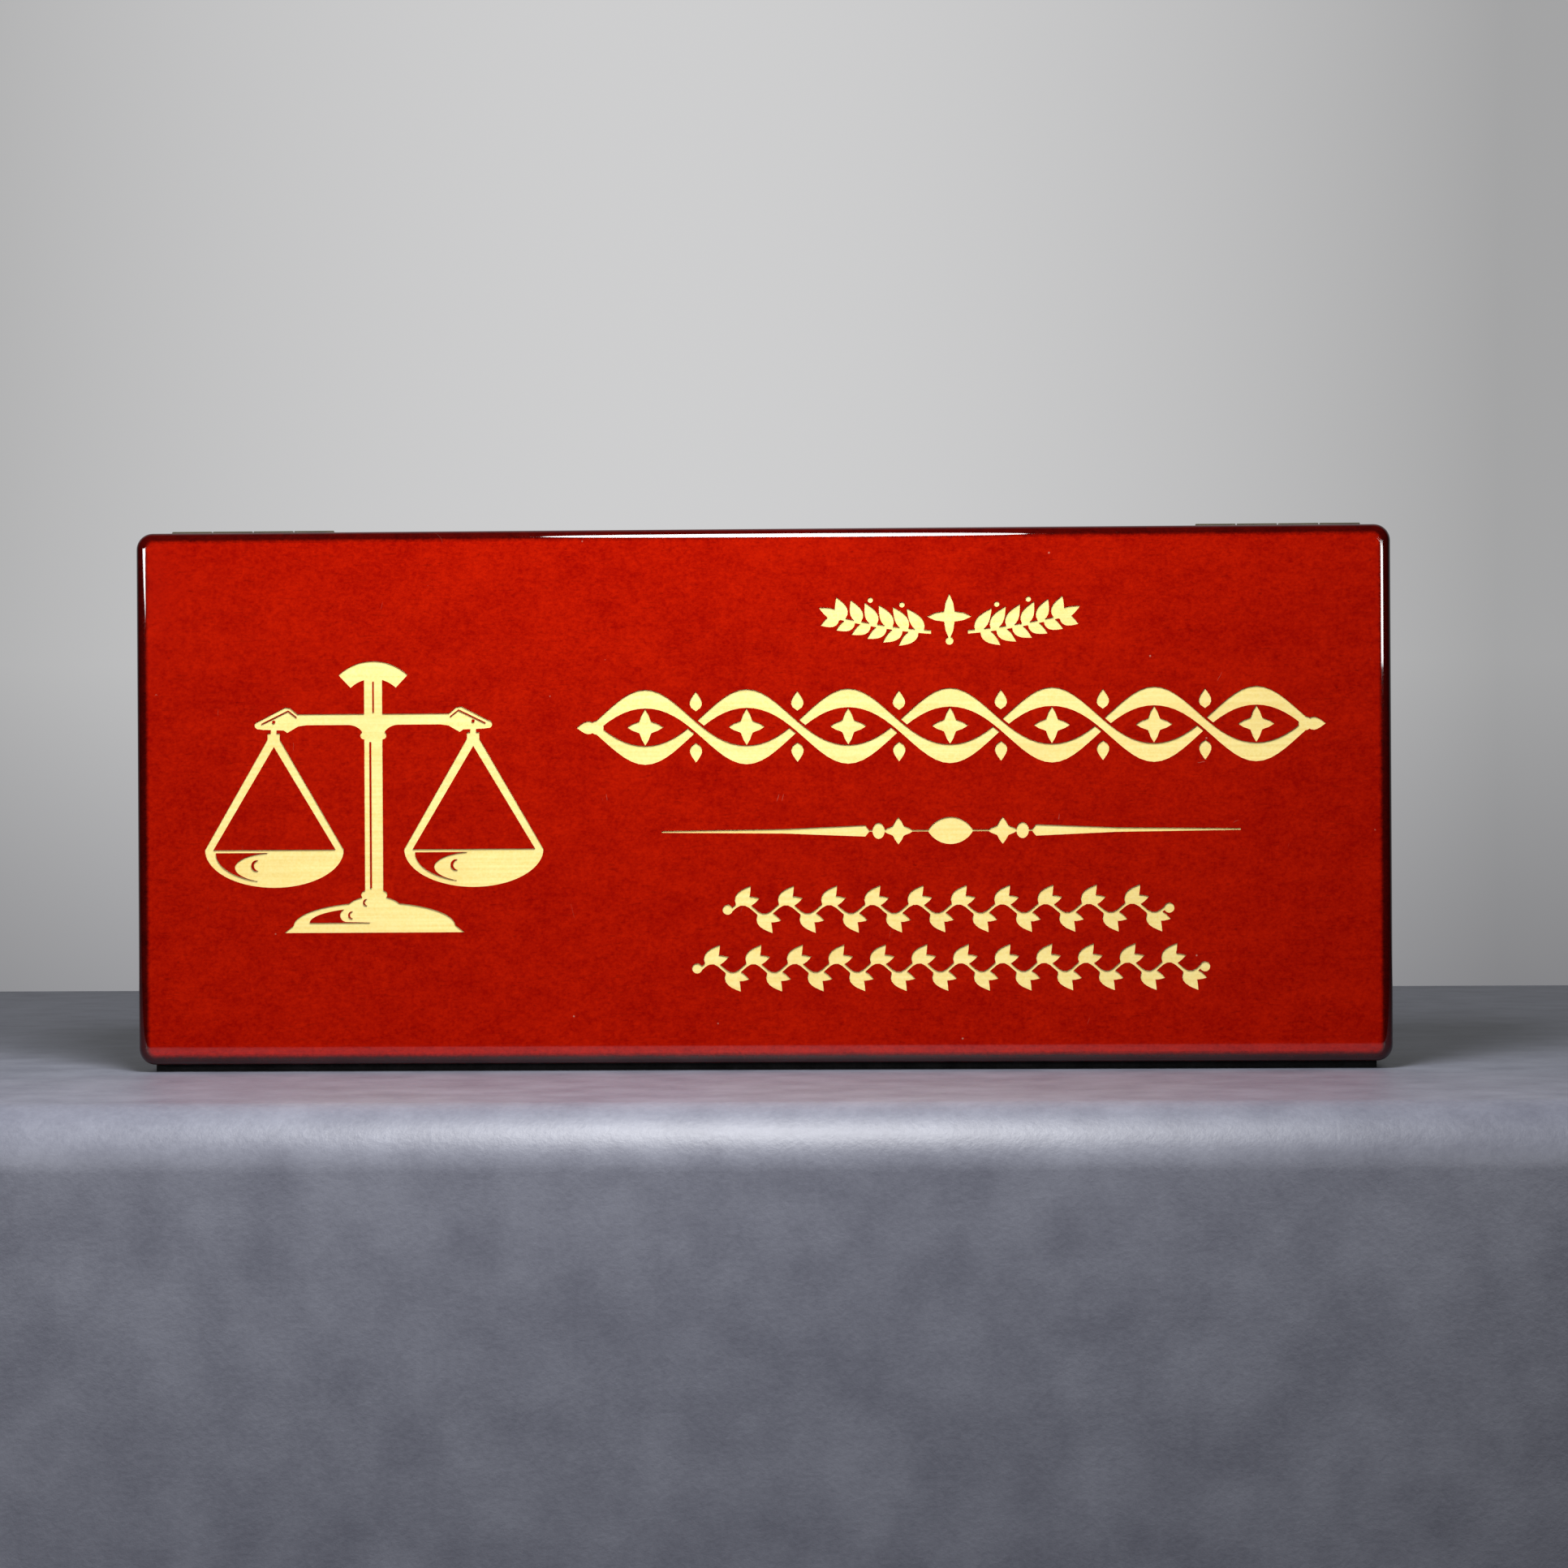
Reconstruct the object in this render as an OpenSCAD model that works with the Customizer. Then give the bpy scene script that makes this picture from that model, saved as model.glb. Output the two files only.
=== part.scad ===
// Hinged presentation case whose lid is an engraved plaque.
// The case stands on its lower edge: +X to the right, +Z up, and the plaque faces -Y.
// The origin is the middle of the footprint, on the surface that the case stands on.
// Case and board outlines are drawn flat as (x, z) and given their depth along Y by slab().

/* [Case] */
// Width of the case, left to right
case_w = 343; // [336:1:350]
// Height of the case as it stands
case_h = 146; // [142:1:152]
// Depth of the lid, front to back
lid_d = 25; // [23:0.5:28]
// Depth of the base, front to back, without its feet
base_d = 51; // [49:0.5:56]
// Thickness of the rails round both halves
rail_t = 9; // [8.5:0.25:10]
// Thickness of the front and the back board
board_t = 8; // [7:0.5:8.5]
// Radius of the four corners, seen from the front
corner_r = 4.5; // [4:0.25:5.5]
// Radius along the outer edges of the boards
edge_r = 2.9; // [2:0.1:3]
// Gap between the rims of the closed halves
seam = 0.4; // [0.3:0.05:0.6]

/* [Plaque face] */
// Thickness of the face veneer
veneer_t = 0.8; // [0.7:0.05:1]
// Radius of the corners of the veneer
veneer_r = 4; // [2.6:0.1:4.4]
// Depth of the engraving below the face
engrave_d = 0.5; // [0.4:0.05:0.6]
// Thickness of the gold colour in the engraving
gold_t = 0.15; // [0.1:0.01:0.2]
// Width of the engraved scales
scales_w = 93; // [88:1:96]
// Width of the wide interlaced band
band_w = 204; // [190:1:206]
// Width of the divider
divider_w = 157.6; // [150:0.4:162]

/* [Hinges] */
// Length of a hinge
hinge_l = 45.5; // [42:0.5:48]
// Space from the side of the case to the end of a hinge
hinge_end = 5.8; // [5.5:0.1:9]
// Radius of the hinge barrel
barrel_r = 1.8; // [1.7:0.1:2.4]
// Height of the hinge pin above the top of the case
pin_up = 0.05; // [0:0.05:0.3]
// Radius of the hinge pin
pin_r = 0.8; // [0.7:0.05:0.9]
// Thickness of a hinge leaf
leaf_t = 1.2; // [1:0.1:1.3]
// Width of a hinge leaf below the top of the case
leaf_w = 7.6; // [7:0.1:7.8]

/* [Lining] */
// Thickness of the lining cards
card_t = 2; // [1.8:0.1:2.2]
// How far the base's lining reaches into the lid
lip = 3; // [2:0.25:3.5]
// Thickness of the padded panel in the lid
pad_t = 5; // [4:0.5:6]
// Thickness of the fitted insert
insert_t = 37; // [35:0.5:38]
// Length and width of the well for a gavel's head
head_well = [54, 92]; // [50:1:100]
// Width of the trough for its handle
trough_w = 24; // [20:1:28]
// Diameter of the well for its sounding block
block_well_dia = 92; // [84:1:94]

/* [Closure and feet] */
// Radius of the closing magnets
magnet_r = 3; // [2.5:0.25:3]
// Depth of the closing magnets
magnet_d = 3; // [2.5:0.25:4]
// Radius of the felt feet
foot_r = 7; // [6:0.5:8]
// Thickness of the felt feet
foot_t = 1.5; // [1:0.25:2]

/* [Hidden] */
$fn = 48;
cut = 1; // how far a cutting shape runs past the surface that it cuts
mid_z = case_h / 2;

y_front = -(lid_d + base_d + foot_t) / 2;
y_seam = y_front + lid_d;
y_back = y_seam + base_d;
y_lid_rim = y_seam - seam / 2;
y_base_rim = y_seam + seam / 2;
y_lid_floor = y_front + board_t;
y_base_floor = y_back - board_t;

inner_w = case_w - 2 * rail_t;
inner_h = case_h - 2 * rail_t;
lined_w = inner_w - 2 * card_t;
lined_h = inner_h - 2 * card_t;
soft_gap = 0.3; // space round the pad and the insert
lip_gap = 0.4;  // space between the base's lip and the lid's rails

veneer_w = case_w - 2 * edge_r;
veneer_h = case_h - 2 * edge_r;

hinge_x = case_w / 2 - hinge_end - hinge_l / 2;
pin_z = case_h + pin_up;
knuckles = 4;
knuckle_gap = 0.3;
knuckle_l = (hinge_l - (knuckles - 1) * knuckle_gap) / knuckles;
barrel_room = 0.3; // space round the barrel in the wood and in the other leaf
pin_fit = 0.05;    // running clearance of the pin

screw_r = 0.9;
screw_head_r = 1.75;
screw_l = 8;
screw_z = case_h - 4.6;
screw_spread = hinge_l / 2 - 7;

magnet_x = 110;
foot_inset = 16;
scoop_r = 40; // radius of the finger scoop under the lid
scoop_d = 2.6;
scoop_y = 5;

// Where each engraving sits, from the middle of the face
scales_at = [-106.1, -36.85];
verse_x = 51.6; // the line on which everything beside the scales is centred
crest_at = [verse_x, 47.6];
band_at = [verse_x, 18.9];
divider_at = [verse_x, -9.7];
vines_at = [[verse_x - 0.8, -31], [verse_x - 0.2, -47]];
vine_waves = [10, 12];
vine_widths = [123, 141];
gold_room = 0.01;

wood = "#4a0d0a";
face_red = "#b01808";
gold = "#f2dc8a";
brass = "#c8b26a";
velvet = "#17151a";
nickel = "#c4c6c8";

// ---------- helpers ----------

// Gives a flat (x, z) outline its depth, from y0 to y1
module slab(y0, y1) {
    translate([0, y1, 0]) rotate([90, 0, 0]) linear_extrude(y1 - y0) children();
}

module rounded(w, h, r) {
    square([w - 2 * r, h], center = true);
    square([w, h - 2 * r], center = true);
    for (x = [-1, 1], z = [-1, 1]) translate([x * (w / 2 - r), z * (h / 2 - r)]) circle(r);
}

module at_middle() translate([0, mid_z]) children();

// Section of a board outwards from a corner's centre: u outwards, v back from the rounded face
module edge_section() {
    square([corner_r - edge_r, board_t]);
    translate([0, edge_r]) square([corner_r, board_t - edge_r]);
    translate([corner_r - edge_r, edge_r]) circle(edge_r);
}

// The edge on the +X side of a middle that is w by l
module board_edge(w, l)
    translate([w / 2, l / 2, 0]) rotate([90, 0, 0]) linear_extrude(l) edge_section();

// Board lying flat, rounded face down at z = 0: a middle, four edges and four turned corners
module flat_board() {
    w = case_w - 2 * corner_r;
    h = case_h - 2 * corner_r;
    translate([-w / 2, -h / 2, 0]) cube([w, h, board_t]);
    for (turn = [0, 180]) {
        rotate([0, 0, turn]) board_edge(w, h);
        rotate([0, 0, turn + 90]) board_edge(h, w);
    }
    for (c = [[1, 1, 0], [-1, 1, 90], [-1, -1, 180], [1, -1, 270]])
        translate([c[0] * w / 2, c[1] * h / 2, 0]) rotate([0, 0, c[2]])
            rotate_extrude(angle = 90) edge_section();
}

// ---------- wooden case ----------

// The top side of a mitred frame, w along it and h across the frame
module mitred_side(w, h) {
    out_x = w / 2 + cut;
    out_z = h / 2 + cut;
    run = rail_t + 2 * cut;
    intersection() {
        difference() {
            rounded(w, h, corner_r);
            square([w - 2 * rail_t, h - 2 * rail_t], center = true);
        }
        polygon([[-out_x, out_z], [out_x, out_z], [out_x - run, out_z - run], [run - out_x, out_z - run]]);
    }
}

module rail(side, y0, y1) {
    slab(y0, y1) at_middle() {
        if (side == "top") mitred_side(case_w, case_h);
        if (side == "bottom") rotate(180) mitred_side(case_w, case_h);
        if (side == "left") rotate(90) mitred_side(case_h, case_w);
        if (side == "right") rotate(-90) mitred_side(case_h, case_w);
    }
}

// Room in a rim for both hinges: their leaves, barrels and screws.
// y_rim is the rim's own plane and dir points into its wood: -1 for the lid, 1 for the base.
module hinge_recesses(y_rim, dir) {
    side_room = 0.15;
    recess_l = hinge_l + 2 * side_room;
    recess_y = min(y_rim + dir * leaf_t, y_rim - dir * cut);
    for (x = [-hinge_x, hinge_x]) {
        translate([x - recess_l / 2, recess_y, case_h - leaf_w - side_room])
            cube([recess_l, leaf_t + cut, leaf_w + side_room + cut]);
        translate([x - recess_l / 2, y_seam, pin_z])
            rotate([0, 90, 0]) cylinder(r = barrel_r + barrel_room, h = recess_l);
    }
    screw_places(y_rim, dir) translate([0, 0, -cut]) cylinder(r = screw_r, h = screw_l + cut);
}

// Puts a child that runs along +Z at each hinge screw, pointing into the wood
module screw_places(y_rim, dir) {
    for (x = [-hinge_x, hinge_x], k = [-1, 0, 1])
        translate([x + k * screw_spread, y_rim, screw_z]) rotate([-90 * dir, 0, 0]) children();
}

module magnet_places(y_rim, dir) {
    for (x = [-magnet_x, magnet_x])
        translate([x, y_rim, rail_t / 2]) rotate([-90 * dir, 0, 0]) children();
}

module lid_board() color(wood) {
    difference() {
        translate([0, y_front, mid_z]) rotate([-90, 0, 0]) flat_board();
        slab(y_front - cut, y_front + veneer_t) at_middle() rounded(veneer_w, veneer_h, veneer_r);
    }
}

module base_board() color(wood)
    translate([0, y_back, mid_z]) rotate([90, 0, 0]) flat_board();

// The hinges reach into the side rails past the mitres
module lid_rail(side) color(wood) difference() {
    rail(side, y_lid_floor, y_lid_rim);
    if (side == "bottom") {
        magnet_places(y_lid_rim, -1) translate([0, 0, -cut]) cylinder(r = magnet_r, h = magnet_d + cut);
        translate([0, y_lid_rim + cut, scoop_d - scoop_r])
            rotate([90, 0, 0]) cylinder(r = scoop_r, h = scoop_y + cut, $fn = 128);
    }
    else hinge_recesses(y_lid_rim, -1);
}

module base_rail(side) color(wood) difference() {
    rail(side, y_base_rim, y_base_floor);
    if (side == "bottom")
        magnet_places(y_base_rim, 1) translate([0, 0, -cut]) cylinder(r = magnet_r, h = magnet_d + cut);
    else hinge_recesses(y_base_rim, 1);
}

// ---------- engraving ----------

// Points of a leaf l long and w wide, from its stalk at the origin along +X
function leaf_points(l, w, n = 7) = concat(
    [for (i = [0:n]) [l * i / n, w / 2 * sin(180 * pow(i / n, 0.75))]],
    [for (i = [n - 1:-1:1]) [l * i / n, -w / 2 * sin(180 * pow(i / n, 0.75))]]
);

// Points of a band that follows y = f(x), its width changing with w(x)
function ribbon_points(x0, x1, steps, f, w) = concat(
    [for (i = [0:steps]) let (x = x0 + (x1 - x0) * i / steps) [x, f(x) + w(x) / 2]],
    [for (i = [steps:-1:0]) let (x = x0 + (x1 - x0) * i / steps) [x, f(x) - w(x) / 2]]
);

module mirrored_pair() {
    children();
    mirror([1, 0]) children();
}

// A thin crescent of wood, open to the right, that reads as a glint of light
module glint(r) {
    difference() {
        circle(r, $fn = 32);
        translate([r * 0.45, 0]) circle(r * 0.97, $fn = 32);
    }
}

// A pan of the scales: half an oval below its rim, with a crescent of wood left standing inside its wall
module scale_pan(half_w, depth) {
    rim_t = 0.85;
    wall = 1.5;
    hollow_w = half_w * 0.845;
    hollow_d = depth - rim_t - wall;
    belly_w = half_w * 0.57;
    belly_d = hollow_d / 2 + 0.05;
    difference() {
        scale([half_w, depth]) circle(1, $fn = 72);
        translate([-half_w - cut, 0]) square([2 * (half_w + cut), depth + cut]);
        difference() {
            translate([0, -rim_t]) scale([hollow_w, hollow_d]) circle(1, $fn = 64);
            translate([0, -rim_t - hollow_d / 2]) scale([belly_w, belly_d]) circle(1, $fn = 56);
            translate([-half_w, -rim_t]) square([2 * half_w, depth]);
            translate([0, -depth]) square([half_w, depth]);
        }
        translate([-belly_w * 0.45, -rim_t - hollow_d * 0.43]) glint(1.5);
    }
}

// Stepped foot with two domes, the lower one hollowed on the left by a glint of wood
module scales_foot(half_w) {
    step = 1.9;
    dome = [22.2, 6.4];
    hollow = [17.8, 4.1];
    hollow_z = 2.75;
    nose_x = -7.6;
    nose_r = 1.8;
    cap = [7.4, 3.2];
    cap_z = 6.8;
    difference() {
        union() {
            polygon([[-half_w, 0], [half_w, 0], [dome[0], step + 0.1], [-dome[0], step + 0.1]]);
            intersection() {
                translate([0, step]) scale(dome) circle(1, $fn = 80);
                translate([-half_w, step]) square([2 * half_w, dome[1] + cut]);
            }
            intersection() {
                translate([0, cap_z]) scale(cap) circle(1, $fn = 48);
                translate([-cap[0], cap_z]) square([2 * cap[0], cap[1] + cut]);
            }
        }
        difference() {
            intersection() {
                translate([0, hollow_z]) scale(hollow) circle(1, $fn = 64);
                translate([-half_w, hollow_z]) square([half_w + 3, hollow[1] + cut]);
            }
            translate([nose_x, hollow_z + 0.2 + nose_r]) circle(nose_r, $fn = 32);
            polygon([[nose_x, hollow_z + 0.2], [3, hollow_z - 0.1], [3, 9], [nose_x, 9]]);
        }
        translate([nose_x + 1.4, hollow_z + 2.1]) glint(1);
        translate([-2.2, cap_z + 1.5]) glint(0.9);
    }
}

// One half of the beam's pointed end, towards +X, with an inner line along its upper edges
module beam_end(z) {
    difference() {
        union() {
            polygon([[18.4, z], [20.6, z - 0.3], [23.7, z - 2.1], [24.7, z - 1.4], [30.4, z - 1.2], [31.8, z - 1],
                     [31.8, z + 1], [24.2, z + 4.9], [22.8, z + 4.7], [20.8, z + 3], [18.4, z + 3]]);
            translate([31.6, z]) circle(1.05, $fn = 28);
        }
        polygon([[21.1, z + 2.3], [23.4, z + 4.1], [30.8, z + 0.5],
                 [30.8, z + 0.15], [23.4, z + 3.75], [21.1, z + 1.95]]);
    }
}

module scales_art() {
    foot_half = 24.8;
    beam_z = 56.9;
    beam_t = 3;
    column_w = 5;
    hang_x = 27.4;
    hang_z = 52.4;
    rim_z = 22.8;
    pan_half = scales_w / 2 - hang_x;
    pan_depth = 10.4;
    cord_w = 2.3;
    arch_z = 60.5;

    scales_foot(foot_half);
    // Column, split by a thin line of wood, with a bead at each end
    difference() {
        translate([-column_w / 2, 9.5]) square([column_w, beam_z - 9]);
        translate([-1.1, 12.2]) square([0.5, 40]);
    }
    for (z = [10.4, 54]) {
        translate([-2.5, z - 1.1]) square([5, 2.2]);
        mirrored_pair() translate([2.5, z]) circle(1.1, $fn = 20);
    }
    // Bracket that flares from the column into the beam
    difference() {
        translate([-6.8, beam_z - 2.6]) square([13.6, 3]);
        mirrored_pair() translate([7, beam_z - 3.6]) scale([4.4, 3.6]) circle(1, $fn = 32);
    }
    // Beam with a pointed end each side
    translate([-19, beam_z]) square([38, beam_t]);
    mirrored_pair() difference() {
        beam_end(beam_z);
        translate([hang_x, beam_z + 0.9]) circle(0.45, $fn = 16);
    }
    // Stem and arched grip above the beam
    difference() {
        translate([-column_w / 2, beam_z + beam_t - 0.1]) square([column_w, 10]);
        translate([-0.2, beam_z + beam_t + 0.4]) square([0.4, 8.4]);
    }
    intersection() {
        translate([0, arch_z]) difference() {
            circle(13.8, $fn = 96);
            circle(9, $fn = 64);
        }
        polygon([[0, arch_z], [-19, arch_z + 20], [19, arch_z + 20]]);
    }
    // Hangers, cords and pans
    mirrored_pair() translate([hang_x, 0]) {
        translate([-0.8, hang_z]) square([1.6, beam_z - hang_z]);
        translate([-1.7, hang_z - 0.2]) square([3.4, 2.5]);
        mirrored_pair() polygon([[-0.4, hang_z + 0.6], [1.7, hang_z + 0.6],
                                 [pan_half, rim_z], [pan_half - cord_w, rim_z], [0, hang_z - 1.4]]);
    }
    for (x = [-hang_x, hang_x]) translate([x, rim_z]) scale_pan(pan_half, pan_depth);
}

// Two laurel sprigs that meet at a star
module crest_art() {
    sprig_l = 35.5;
    leaf_pairs = 6;
    rise = 5.4;
    stem = function (x) rise * pow(x / sprig_l, 1.7) - 3.4;
    stem_w = function (x) 1.1 - 0.5 * x / sprig_l;
    mirrored_pair() {
        polygon(ribbon_points(5, sprig_l - 5.5, 14, stem, stem_w));
        for (i = [0:leaf_pairs - 1]) let (x = 7 + i * 4.3, lean = 8 + 3.2 * i) {
            translate([x, stem(x)]) rotate(lean + 46) polygon(leaf_points(7.8 - 0.25 * i, 3.4));
            translate([x + 1.4, stem(x + 1.4)]) rotate(lean - 44) polygon(leaf_points(6.8 - 0.25 * i, 3.1));
        }
        translate([sprig_l - 6.5, stem(sprig_l - 6.5)]) rotate(26) polygon(leaf_points(7.4, 3));
        for (x = [12.9, 21.5]) translate([x, stem(x) + 6.7]) circle(0.75, $fn = 16);
    }
    translate([0, 1]) star(4, 6.2, 2);
    translate([0, -5.6]) circle(1.1, $fn = 20);
}

// Star whose arms curve inwards, from an outer and an inner radius
module star(arms, r_out, r_in) {
    steps = 6;
    polygon([for (k = [0:arms * steps - 1]) let (
        turn = 90 + 360 * k / (arms * steps),
        share = abs(2 * ((k / steps) % 1) - 1),
        r = r_in + (r_out - r_in) * pow(share, 1.8)) r * [cos(turn), sin(turn)]]);
}

// Two interlaced ribbons, each passing over and under the other in turn, with a star in each eye
module band_art() {
    eyes = 7;
    eye_w = (band_w - 10) / eyes;
    x_end = eyes * eye_w / 2;
    reach = 7.7;
    edge_room = 0.75;
    bend = function (x) 180 * (x + x_end) / eye_w;
    thick = function (x) 2.9 + 2.2 * pow(sin(bend(x)), 2);
    wide = function (x) thick(x) + 2 * edge_room;
    for (turn = [1, -1]) let (mine = function (x) turn * reach * sin(bend(x)), other = function (x) -mine(x))
        difference() {
            polygon(ribbon_points(-x_end, x_end, eyes * 14, mine, thick));
            // The other ribbon lies on top at every second crossing
            for (k = [1:eyes - 1]) if ((k % 2 == 0) == (turn > 0)) let (x = -x_end + k * eye_w)
                polygon(ribbon_points(x - 5, x + 5, 10, other, wide));
        }
    for (k = [0:eyes - 1]) translate([-x_end + (k + 0.5) * eye_w, 0]) star(4, 5, 2.3);
    // Small leaves that fill the hollows above and below each crossing
    for (k = [1:eyes - 1], turn = [90, -90]) let (x = -x_end + k * eye_w)
        translate([x, turn / 90 * 4.3]) rotate(turn) polygon(leaf_points(5.4, 3.4, 6));
    mirrored_pair() translate([x_end - 0.6, 0]) {
        circle(1.9, $fn = 28);
        polygon(leaf_points(5.6, 3.6));
    }
}

// Tapered lines either side of a pointed oval, with a bead and a curved star between
module divider_art() {
    half = divider_w / 2;
    oval_half = 6.2;
    star_x = 14.2;
    bead_x = 19.6;
    needle_x = 23.2;
    link_t = 0.5;
    pointed_oval(oval_half, 3.7);
    mirrored_pair() {
        translate([oval_half - 0.6, -link_t / 2]) square([needle_x - oval_half, link_t]);
        translate([star_x, 0]) scale([1.15, 1]) star(4, 3.7, 1.9);
        translate([bead_x, 0]) scale([1.7, 2.2]) circle(1, $fn = 24);
        polygon([[needle_x - 1.2, 0], [needle_x, 1.55], [needle_x + 22, 0.62], [half, 0.25],
                 [half, -0.25], [needle_x + 22, -0.62], [needle_x, -1.55]]);
    }
}

// Pointed oval: what two equal circles share
module pointed_oval(half_w, half_h) {
    r = (half_w * half_w + half_h * half_h) / (2 * half_h);
    intersection() {
        translate([0, half_h - r]) circle(r, $fn = 80);
        translate([0, r - half_h]) circle(r, $fn = 80);
    }
}

// Running vine: a waving stem with two slanted leaves on the outside of each bend
module vine_art(width, waves) {
    end_room = 2.6;
    pitch = (width - 2 * end_room) / waves;
    reach = 1.7;
    half = waves * pitch / 2;
    stem = function (x) reach * sin(360 * (x + half) / pitch);
    stem_w = function (x) 1.1;
    polygon(ribbon_points(-half, half, waves * 10, stem, stem_w));
    for (k = [0:2 * waves - 1]) let (x = -half + (k + 0.5) * pitch / 2, up = k % 2 == 0 ? 1 : -1) {
        translate([x - 1.8, stem(x - 1.8)]) rotate(up * 54) polygon(leaf_points(6.8, 3.6, 6));
        translate([x - 0.2, stem(x - 0.2)]) rotate(up * 16) polygon(leaf_points(5, 2.6, 6));
    }
    for (x = [-half - 1.2, half + 1.2]) translate([x, 0]) circle(1.4, $fn = 20);
}

// Outline of an engraving at its place on the face, larger all round by grow
module engraved(at, grow) translate(at + [0, mid_z]) offset(delta = grow) children();

module scales_outline(grow) engraved(scales_at, grow) scales_art();
module crest_outline(grow) engraved(crest_at, grow) crest_art();
module band_outline(grow) engraved(band_at, grow) band_art();
module divider_outline(grow) engraved(divider_at, grow) divider_art();
module vine_outline(k, grow) engraved(vines_at[k], grow) vine_art(vine_widths[k], vine_waves[k]);

module face_veneer() color(face_red) difference() {
    slab(y_front, y_front + veneer_t) at_middle() rounded(veneer_w, veneer_h, veneer_r);
    slab(y_front - cut, y_front + engrave_d) {
        scales_outline(gold_room);
        crest_outline(gold_room);
        band_outline(gold_room);
        divider_outline(gold_room);
        for (k = [0, 1]) vine_outline(k, gold_room);
    }
}

// The gold colour on the floor of an engraving, a hair smaller than its pocket
module gold_fill() color(gold)
    slab(y_front + engrave_d - gold_t, y_front + engrave_d) children();

module scales_gold() gold_fill() scales_outline(-gold_room);
module crest_gold() gold_fill() crest_outline(-gold_room);
module band_gold() gold_fill() band_outline(-gold_room);
module divider_gold() gold_fill() divider_outline(-gold_room);
module upper_vine_gold() gold_fill() vine_outline(0, -gold_room);
module lower_vine_gold() gold_fill() vine_outline(1, -gold_room);

// ---------- lining ----------

// A lining card against one rail, from y0 to y1, its outer face stepped in by relief
module lining_card(side, y0, y1, relief = 0) {
    outer = inner_h / 2 - relief;
    if (side == "top" || side == "bottom")
        slab(y0, y1) at_middle() rotate(side == "top" ? 0 : 180)
            translate([-inner_w / 2 + relief, lined_h / 2]) square([inner_w - 2 * relief, outer - lined_h / 2]);
    else
        slab(y0, y1) at_middle() rotate(side == "right" ? 0 : 180)
            translate([lined_w / 2, -lined_h / 2]) square([inner_w / 2 - relief - lined_w / 2, lined_h]);
}

lip_clear = 1.2; // space between the base's lip and the lid's lining
module lid_lining(side) color(velvet) lining_card(side, y_lid_floor, y_lid_rim - lip - lip_clear + seam / 2);
module base_lining(side) color(velvet) {
    lining_card(side, y_base_rim, y_base_floor);
    lining_card(side, y_seam - lip, y_base_rim, lip_gap);
}

module lid_pad() color(velvet)
    slab(y_lid_floor, y_lid_floor + pad_t) at_middle()
        square([lined_w - 2 * soft_gap, lined_h - 2 * soft_gap], center = true);

head_well_x = -119;
head_well_d = 33;
trough_d = 14;
trough_end = 128;
block_x = 70;
block_well_d = 34;
well_r = 4;

// The wells open towards -Y, so each is cut from in front of the insert to its own depth
module fitted_insert() color(velvet) {
    y_top = y_base_floor - insert_t;
    difference() {
        slab(y_top, y_base_floor) at_middle()
            square([lined_w - 2 * soft_gap, lined_h - 2 * soft_gap], center = true);
        slab(y_top - cut, y_top + head_well_d) at_middle() translate([head_well_x, 0])
            rounded(head_well[0], head_well[1], well_r);
        slab(y_top - cut, y_top + trough_d) at_middle() {
            translate([head_well_x, -trough_w / 2]) square([trough_end - trough_w / 2 - head_well_x, trough_w]);
            translate([trough_end - trough_w / 2, 0]) circle(trough_w / 2);
        }
        slab(y_top - cut, y_top + block_well_d) at_middle() translate([block_x, 0])
            circle(block_well_dia / 2, $fn = 96);
    }
}

// ---------- hinges ----------

function knuckle_x(k) = -hinge_l / 2 + k * (knuckle_l + knuckle_gap);

// A leaf with every second knuckle, first = 0 or 1; dir is -1 for the lid's leaf and 1 for the base's.
// The base's knuckles grip the pin and the lid's turn on it.
module hinge_leaf(x, first, dir) {
    bore_r = dir < 0 ? pin_r + pin_fit : pin_r;
    y_rim = dir < 0 ? y_lid_rim : y_base_rim;
    translate([x, 0, 0]) difference() {
        union() {
            difference() {
                translate([-hinge_l / 2, min(y_rim, y_rim + dir * leaf_t), case_h - leaf_w])
                    cube([hinge_l, leaf_t, leaf_w + pin_up]);
                for (k = [1 - first, 3 - first])
                    translate([knuckle_x(k) - knuckle_gap, y_seam, pin_z]) rotate([0, 90, 0])
                        cylinder(r = barrel_r + barrel_room, h = knuckle_l + 2 * knuckle_gap);
            }
            for (k = [first, first + 2])
                translate([knuckle_x(k), y_seam, pin_z]) rotate([0, 90, 0]) cylinder(r = barrel_r, h = knuckle_l);
        }
        translate([-hinge_l / 2 - cut, y_seam, pin_z]) rotate([0, 90, 0])
            cylinder(r = bore_r, h = hinge_l + 2 * cut);
        translate([-x, 0, 0]) screw_places(y_rim, dir) screw_body(0.02);
    }
}

module hinge_pin(x) {
    translate([x - hinge_l / 2, y_seam, pin_z]) rotate([0, 90, 0]) cylinder(r = pin_r, h = hinge_l);
}

// Countersunk screw from its head at z = 0 along +Z, larger all round by grow
module screw_body(grow = 0) {
    head_d = leaf_t * 0.85;
    translate([0, 0, -grow]) cylinder(r1 = screw_head_r + grow, r2 = screw_r + grow, h = head_d + grow);
    translate([0, 0, head_d - 0.01]) cylinder(r = screw_r - 0.02 + grow, h = screw_l - head_d);
}

module driver_slot() {
    slot_d = 0.45;
    for (turn = [0, 90]) rotate(turn) translate([-1.1, -0.22, -cut]) cube([2.2, 0.44, cut + slot_d]);
}

module hinge_screws(y_rim, dir) color(brass)
    screw_places(y_rim, dir) difference() {
        screw_body();
        driver_slot();
    }

// ---------- closure and feet ----------

module magnets(y_rim, dir) color(nickel)
    magnet_places(y_rim, dir) cylinder(r = magnet_r, h = magnet_d);

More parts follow.
